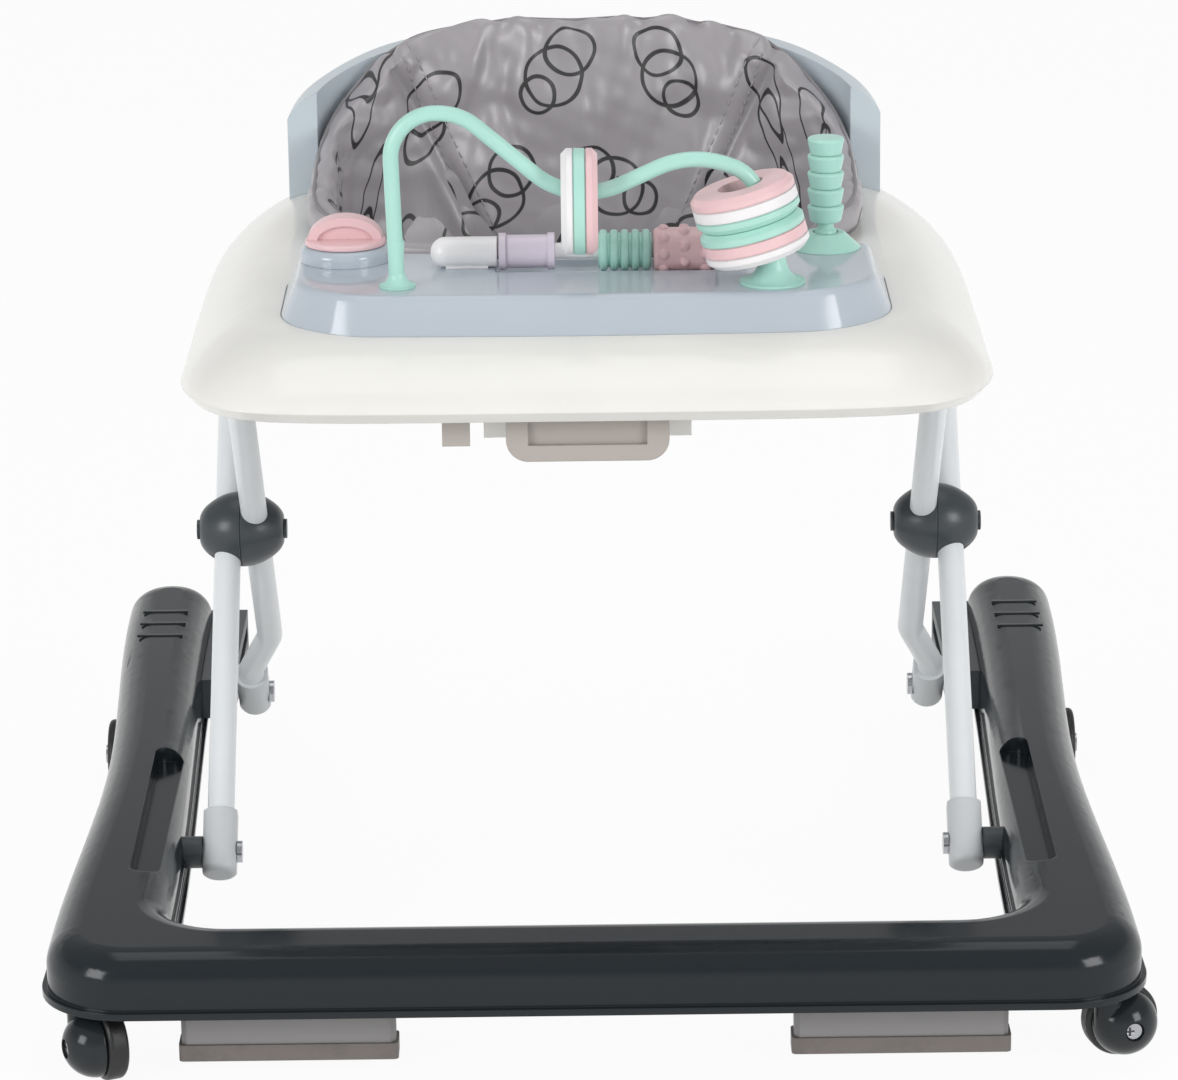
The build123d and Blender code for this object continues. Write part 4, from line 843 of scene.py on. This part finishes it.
class WALKER_OT_dress_base(bpy.types.Operator):
    """Dark gloss base, its stoppers and rails"""
    bl_idname = "walker.dress_base"
    bl_label = "Dress Base"

    def execute(self, context):
        colours = context.scene.walker_colours
        shell = moulded("base gloss", colours.shell, 0.15, peel=0.03, dust=0.12, shine=0.3)
        dress(shell, "base_shell", *sided("caster_hood"))
        dress(moulded("rail satin", colours.joint, 0.42, dust=0.08),
              *sided("slide_rail"), "front_pivot_spacers")
        dress(moulded("stopper holder", colours.holder, 0.45, dust=0.15), *sided("stopper_holder"))
        dress(tyre_rubber("stopper strip", colours.strip), *sided("stopper_strip"))
        dress(tyre_rubber("tyre rubber", colours.tyre), *sided("caster_wheel", "rear_wheel"))
        return {"FINISHED"}


class WALKER_OT_dress_legs(bpy.types.Operator):
    """Painted scissor legs, caps, joints and plated fasteners"""
    bl_idname = "walker.dress_legs"
    bl_label = "Dress Legs"

    def execute(self, context):
        colours = context.scene.walker_colours
        dress(tube_paint("leg paint", colours.tube), *sided("outer_leg", "inner_leg"),
              "outer_crossbar", "inner_crossbar")
        dress(moulded("foot cap", colours.cap, 0.38, dust=0.04), *sided("outer_foot_cap", "inner_foot_cap"))
        dress(moulded("joint satin", colours.joint, 0.33, peel=0.12),
              *sided("joint_outer_half", "joint_inner_half"), "joint_pins")
        dress(plated_steel("plated steel", colours.steel), "front_pivot_bolts", "rear_axles",
              "slide_pins", "tray_screws", "handle_spring", *sided("caster_stem"))
        for side in ("left", "right"):
            hood, wheel = (Vector(middle_of(f"{side}_caster_{piece}")) for piece in ("hood", "wheel"))
            out = hood - wheel
            out = Vector((out.x, out.y, 0)).normalized()
            axle = nodes[f"{side}_caster_axle"]
            tip = max((v.co for v in axle.data.vertices), key=out.dot)
            tip = out * tip.dot(out) + (wheel - out * wheel.dot(out))
            across = out.cross(Vector((0, 0, 1)))
            screw = plated_steel(f"{side} caster screw", colours.steel, recess=(tip, across))
            dress(screw, f"{side}_caster_axle")
        return {"FINISHED"}


class WALKER_OT_dress_tray(bpy.types.Operator):
    """Tray, toy panel, backrest and height handle"""
    bl_idname = "walker.dress_tray"
    bl_label = "Dress Tray"

    def execute(self, context):
        colours = context.scene.walker_colours

        def clip(f, place, skin):
            # Painted shade: below the rim, the tab under the tray is coloured the darker shaded cream
            # instead of the tray's own colour
            shade_below_rim = 1 - f.fade(f.axes(place)[2], low=0.3815, high=0.3822)
            return f.mix(shade_below_rim, skin, shaded(colours.shaded_cream, 1.05))

        dress(moulded("tray gloss", colours.tray, 0.17, peel=0.03, paint=clip), "tray_shell")
        dress(moulded("panel gloss", colours.panel, 0.1, peel=0.02), "toy_panel", "dial_boss")
        dress(moulded("backrest satin", colours.backrest, 0.32, peel=0.14), "backrest")
        dress(moulded("rack satin", colours.tray, 0.4), *sided("rack_plate"), "rear_hinge_brackets")
        # The handle takes the shaded cream, whose colour holds painted shade for the tray's shadow
        dress(moulded("handle satin", colours.shaded_cream, 0.36, peel=0.16), "height_handle")
        return {"FINISHED"}


class WALKER_OT_dress_toys(bpy.types.Operator):
    """Bead wire, discs, rollers, dial and lever"""
    bl_idname = "walker.dress_toys"
    bl_label = "Dress Toys"

    def execute(self, context):
        c = context.scene.walker_colours
        dress(moulded("mint toy", c.mint, 0.3, peel=0.05, wear=0.15),
              "bead_wire", "ribbed_roller", "lever", "lever_socket")
        dress(moulded("pink toy", c.pink, 0.34, peel=0.05, wear=0.15), "dial", "bumpy_roller")
        dress(moulded("white toy", c.white, 0.28, peel=0.05, wear=0.1), "roller_bar")
        dress(moulded("lavender toy", c.lavender, 0.3, peel=0.05, wear=0.15), "bobbin_roller")
        lean = (-0.2588, 0.0, 0.9659)
        for name, axis, low, middle, high in (("swing_disc", (1.0, 0.0, 0.0), c.white, c.mint, c.pink),
                                              ("upper_disc", lean, c.mint, c.white, c.pink),
                                              ("lower_disc", lean, c.white, c.pink, c.mint)):
            dress(layered(name.replace("_", " "), low, middle, high, middle_of(name), axis), name)
        return {"FINISHED"}


class WALKER_OT_sew_pad(bpy.types.Operator):
    """Padded cloth round the back and sides of the seat, with piping and stitching"""
    bl_idname = "walker.sew_pad"
    bl_label = "Sew Pad"

    def execute(self, context):
        colours, sizes = context.scene.walker_colours, context.scene.walker_sizes
        points, faces, plan, kind, around = pad_grid(sizes)
        mesh = mesh_of("seat_back_pad", points, faces)
        write_plan(mesh, plan)
        cloth = seat_cloth("seat cloth", colours, sizes)
        pad = add_sewn("seat_back_pad", mesh, cloth.material)
        x, y, z = points.T
        sewn_width, sewn_from, held_height = 0.004, 0.08, 0.01
        seam = bell(np.abs(x) - Seat.seam_at(z), sewn_width) * (y > sewn_from)
        pins = np.where(kind == 2, seam, 0.0)
        pins = np.where((kind == 0) | (kind == 3) | (z < Seat.foot + held_height), 1.0, pins)
        pins[:around] = pins[-around:] = 1.0
        pins = np.where(pins > 0.5, 1.0, 0.0)
        settle(pad, pins, sizes.frames, pressure=4.0, gravity=0.0, slack=0.02, cap=sizes.puff)
        subdivide(pad)
        pad_folds(pad, sizes)
        pad.data.shade_smooth()
        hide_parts("seat_pad")

        thread = thread_finish("seat thread", colours.thread)
        tree = BVHTree.FromPolygons(
            [v.co for v in pad.data.vertices], [p.vertices for p in pad.data.polygons])
        stitches = tubes("seam_stitches", stitch_runs(tree, sizes), radius=0.00042, sides=6)
        add_sewn("seam_stitches", stitches, thread.material)
        edge = points.reshape(-1, around, 3)[:, Seat.piping_row]
        piping = tubes("pad_piping", [piping_line(tree, edge)], sizes.piping, sides=10)
        binding = thread_finish("pad piping", shaded(colours.cloth, 0.8))
        add_sewn("pad_piping", piping, binding.material)
        return {"FINISHED"}


def sling_grid(sizes):
    """Grid of the sling: rings from the hem on the tray edge down to the middle of the seat's bottom."""
    count = int(Seat.girth / sizes.cell_size)
    angle = np.linspace(-math.pi / 2, 1.5 * math.pi, fine_steps, endpoint=False)
    level, inset = np.array(Seat.bowl).T
    share, stops = np.linspace(0, 1, Seat.bowl_rows), np.linspace(0, 1, len(level))
    wall = zip(-np.interp(share, stops, inset), np.interp(share, stops, level))
    rings, plan = [], []
    flat, last = 0.0, None
    for grow, z in (*Seat.hem, *wall):
        ring = np.column_stack(oval(angle, Seat.opening_half_width + grow, Seat.opening_half_length + grow,
                                    Seat.opening_power, Seat.opening_middle))
        ring, run = spread_evenly(ring, count, closed=True)
        flat += 0.0 if last is None else math.dist(last, (grow, z))
        last = (grow, z)
        rings.append(np.column_stack((ring, np.full(count, z))))
        plan.append(np.column_stack((run - run[count // 2], np.full(count, -flat))))
    edge = rings[-1]
    middle = np.array((0.0, Seat.opening_middle, edge[0, 2]))
    for share in np.linspace(0, 1, Seat.bottom_rows)[1:-1]:
        ring = edge + (middle - edge) * share
        ring[:, 2] -= Seat.bottom_sag * math.sin(share * math.pi / 2)
        rings.append(ring)
        plan.append(plan[-1] - (0, Seat.bottom_step))
    points = np.vstack(rings + [middle - (0, 0, Seat.bottom_sag)])
    plan = np.vstack(plan + [plan[-1][:1]])
    faces = grid_faces(len(rings), count)
    last = (len(rings) - 1) * count
    faces += [(last + j, len(points) - 1, last + (j + 1) % count) for j in range(count)]
    return points, faces, plan


def cut_leg_holes(points, faces):
    """Faces left round the two leg holes; the points at a hole's edge are moved onto its circle."""
    hole_x, hole_y, radius = Seat.leg_hole
    away = np.hypot(np.abs(points[:, 0]) - hole_x, points[:, 1] - hole_y)
    inside = (away < radius) & (points[:, 2] < Seat.leg_hole_top)
    kept = [f for f in faces if not all(inside[list(f)])]
    for v in {v for f in kept for v in f if inside[v]}:
        middle = np.array((math.copysign(hole_x, points[v, 0]), hole_y))
        from_hole = points[v, :2] - middle
        points[v, :2] = middle + from_hole / np.linalg.norm(from_hole) * radius
    return kept


def hole_edge(mesh, x, y):
    """Free edge of a leg hole, in order round its middle."""
    below_hem, fewest, steps, rounds = 0.4, 12, 80, 6
    uses = {}
    for face in mesh.polygons:
        for edge in face.edge_keys:
            uses[edge] = uses.get(edge, 0) + 1
    found = {v for edge, count in uses.items() if count == 1 for v in edge}
    places = [mesh.vertices[v].co for v in found]
    places = [p for p in places if p.z < below_hem and (p.x > 0) == (x > 0)]
    places.sort(key=lambda p: math.atan2(p.y - y, p.x - x))
    if len(places) < fewest:
        raise RuntimeError("a leg hole has no edge")
    run, _ = spread_evenly(np.array(places), steps, closed=True)
    for _ in range(rounds):
        run = (np.roll(run, 1, axis=0) + run * 2 + np.roll(run, -1, axis=0)) / 4
    return run


class WALKER_OT_sew_sling(bpy.types.Operator):
    """Hanging seat bottom with two hemmed leg holes"""
    bl_idname = "walker.sew_sling"
    bl_label = "Sew Sling"

    def execute(self, context):
        colours, sizes = context.scene.walker_colours, context.scene.walker_sizes
        points, faces, plan = sling_grid(sizes)
        kept = cut_leg_holes(points, faces)
        used = sorted({v for f in kept for v in f})
        place = {v: k for k, v in enumerate(used)}
        points, plan = points[used], plan[used]
        mesh = mesh_of("seat_sling_cloth", points, [tuple(place[v] for v in f) for f in kept])
        write_plan(mesh, plan, Seat.bowl[-1][0] + 0.0001)
        sling = add_sewn("seat_sling_cloth", mesh, bpy.data.materials["seat cloth"])
        turn = np.arctan2(points[:, 0], points[:, 1] - Seat.opening_middle)
        fold_top, fold_reach, fold_depth, held_above = 0.421, 0.05, 0.0011, 0.408
        hang = ramp(-points[:, 2], -fold_top, fold_reach)
        folds = (np.sin(turn * 9) + 0.6 * np.sin(turn * 17 + 1.1)) * fold_depth * hang
        set_points(mesh, points + normals_of(mesh) * folds[:, None])
        pins = np.where(points[:, 2] > held_above, 1.0, 0.0)
        settle(sling, pins, frames=12, pressure=0.0, gravity=1.0, slack=0.01, cap=0.005)
        subdivide(sling)
        sling.data.shade_smooth()
        hole_x, hole_y, _ = Seat.leg_hole
        runs = [hole_edge(sling.data, side * hole_x, hole_y) for side in (-1, 1)]
        hems = tubes("leg_hole_hems", runs, radius=0.0026, sides=10, closed=True)
        binding = thread_finish("hem binding", shaded(colours.cloth, 0.7))
        hems = add_sewn("leg_hole_hems", hems, binding.material)
        shell = sling.modifiers.new("cloth thickness", "SOLIDIFY")
        shell.thickness = 0.0012
        shell.offset = -1
        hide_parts("seat_sling")
        return {"FINISHED"}


class WALKER_OT_set_stage(bpy.types.Operator):
    """Pale floor, soft studio light and the camera"""
    bl_idname = "walker.set_stage"
    bl_label = "Set Stage"
    # Name, place, width and power of each lamp, and the place that they light
    lamps = (("left softbox", (-2.0, -1.9, 1.25), 1.1, 28.0),
             ("right softbox", (2.0, -1.9, 1.25), 1.1, 28.0),
             ("top softbox", (0.0, 0.3, 2.6), 1.6, 10.0))
    lit_place = Vector((0, 0, 0.25))
    white_share = 0.94
    camera_place = (0, -2.9051, 1.0844)
    camera_tilt, camera_roll = 73.4, -0.7
    camera_sensor, camera_lens = 36, 152.72

    def execute(self, context):
        scene, sizes = context.scene, context.scene.walker_sizes
        half = sizes.floor / 2
        corners = [(-half, -half, 0), (half, -half, 0), (half, half, 0), (-half, half, 0)]
        floor = bpy.data.objects.new("studio_floor", mesh_of("studio_floor", corners, [(0, 1, 2, 3)]))
        scene.collection.objects.link(floor)
        f = Finish("studio floor")
        grain = f.noise(f.place(), scale=3)
        pale = f.mix(grain, (0.86, 0.86, 0.86), (0.9, 0.9, 0.9))
        seen = self.seen(f)
        plain = f.node("ShaderNodeBsdfDiffuse", None, {"Color": pale})
        white = f.node("ShaderNodeEmission", None, {"Color": (1, 1, 1, 1), "Strength": 1.0})
        surface = f.node("ShaderNodeMixShader", None, {0: seen * self.white_share, 1: plain, 2: white})
        f.node("ShaderNodeOutputMaterial", None, {"Surface": surface})
        floor.data.materials.append(f.material)

        world = bpy.data.worlds.new("studio")
        world.use_nodes = True
        scene.world = world
        f = Finish("studio", world.node_tree)
        rise = f.axes(f.node("ShaderNodeTexCoord", out="Generated"))[2]
        room = f.mix(f.fade(rise, low=0.35, high=0.9), (0.4, 0.4, 0.41), (0.5, 0.5, 0.5))
        room = f.mix(f.fade(rise, low=0.2, high=0.45), (0.8, 0.8, 0.8), room)
        room = f.mix(f.fade(rise, low=0.06, high=0.14), (1.0, 1.0, 1.0), room)
        sky = f.node("ShaderNodeBackground", None, {"Color": room})
        f.node("ShaderNodeOutputWorld", None, {"Surface": sky})

        for name, place, size, power in self.lamps:
            lamp = bpy.data.lights.new(name, "AREA")
            lamp.size = size
            lamp.energy = power
            holder = bpy.data.objects.new(name, lamp)
            holder.location = place
            aim = self.lit_place - holder.location
            holder.rotation_euler = aim.to_track_quat("-Z", "Y").to_euler()
            scene.collection.objects.link(holder)

        lens = bpy.data.cameras.new("photo camera")
        lens.sensor_width = self.camera_sensor
        lens.lens = self.camera_lens
        camera = bpy.data.objects.new("photo camera", lens)
        camera.matrix_world = (Matrix.Translation(self.camera_place)
                               @ Matrix.Rotation(math.radians(self.camera_tilt), 4, "X")
                               @ Matrix.Rotation(math.radians(self.camera_roll), 4, "Z"))
        scene.collection.objects.link(camera)
        scene.camera = camera
        scene.view_settings.view_transform = "Standard"
        return {"FINISHED"}

    @staticmethod
    def seen(f):
        """1 where the camera, a reflection or a clear piece looks."""
        rays = [f.node("ShaderNodeLightPath", out=f"Is {kind} Ray")
                for kind in ("Camera", "Glossy", "Transmission")]
        return rays[0].most(rays[1]).most(rays[2])


class WALKER_PT_panel(bpy.types.Panel):
    """Steps and settings of the walker"""
    bl_idname = "WALKER_PT_panel"
    bl_label = "Baby Walker"
    bl_space_type = "VIEW_3D"
    bl_region_type = "UI"
    bl_category = "Walker"

    def draw(self, context):
        for step in steps:
            self.layout.operator(step.bl_idname)
        for group in (context.scene.walker_colours, context.scene.walker_sizes):
            box = self.layout.box()
            for key in group.__annotations__:
                box.prop(group, key)


steps = (WALKER_OT_dress_base, WALKER_OT_dress_legs, WALKER_OT_dress_tray, WALKER_OT_dress_toys,
         WALKER_OT_sew_pad, WALKER_OT_sew_sling, WALKER_OT_set_stage)
classes = (WalkerColours, WalkerSizes) + steps + (WALKER_PT_panel,)


def register():
    for kind in classes:
        bpy.utils.register_class(kind)
    bpy.types.Scene.walker_colours = PointerProperty(type=WalkerColours)
    bpy.types.Scene.walker_sizes = PointerProperty(type=WalkerSizes)


def unregister():
    del bpy.types.Scene.walker_sizes
    del bpy.types.Scene.walker_colours
    for kind in reversed(classes):
        bpy.utils.unregister_class(kind)


def main():
    register()
    for step in steps:
        group, name = step.bl_idname.split(".")
        getattr(getattr(bpy.ops, group), name)()


if __name__ == "__main__":
    main()
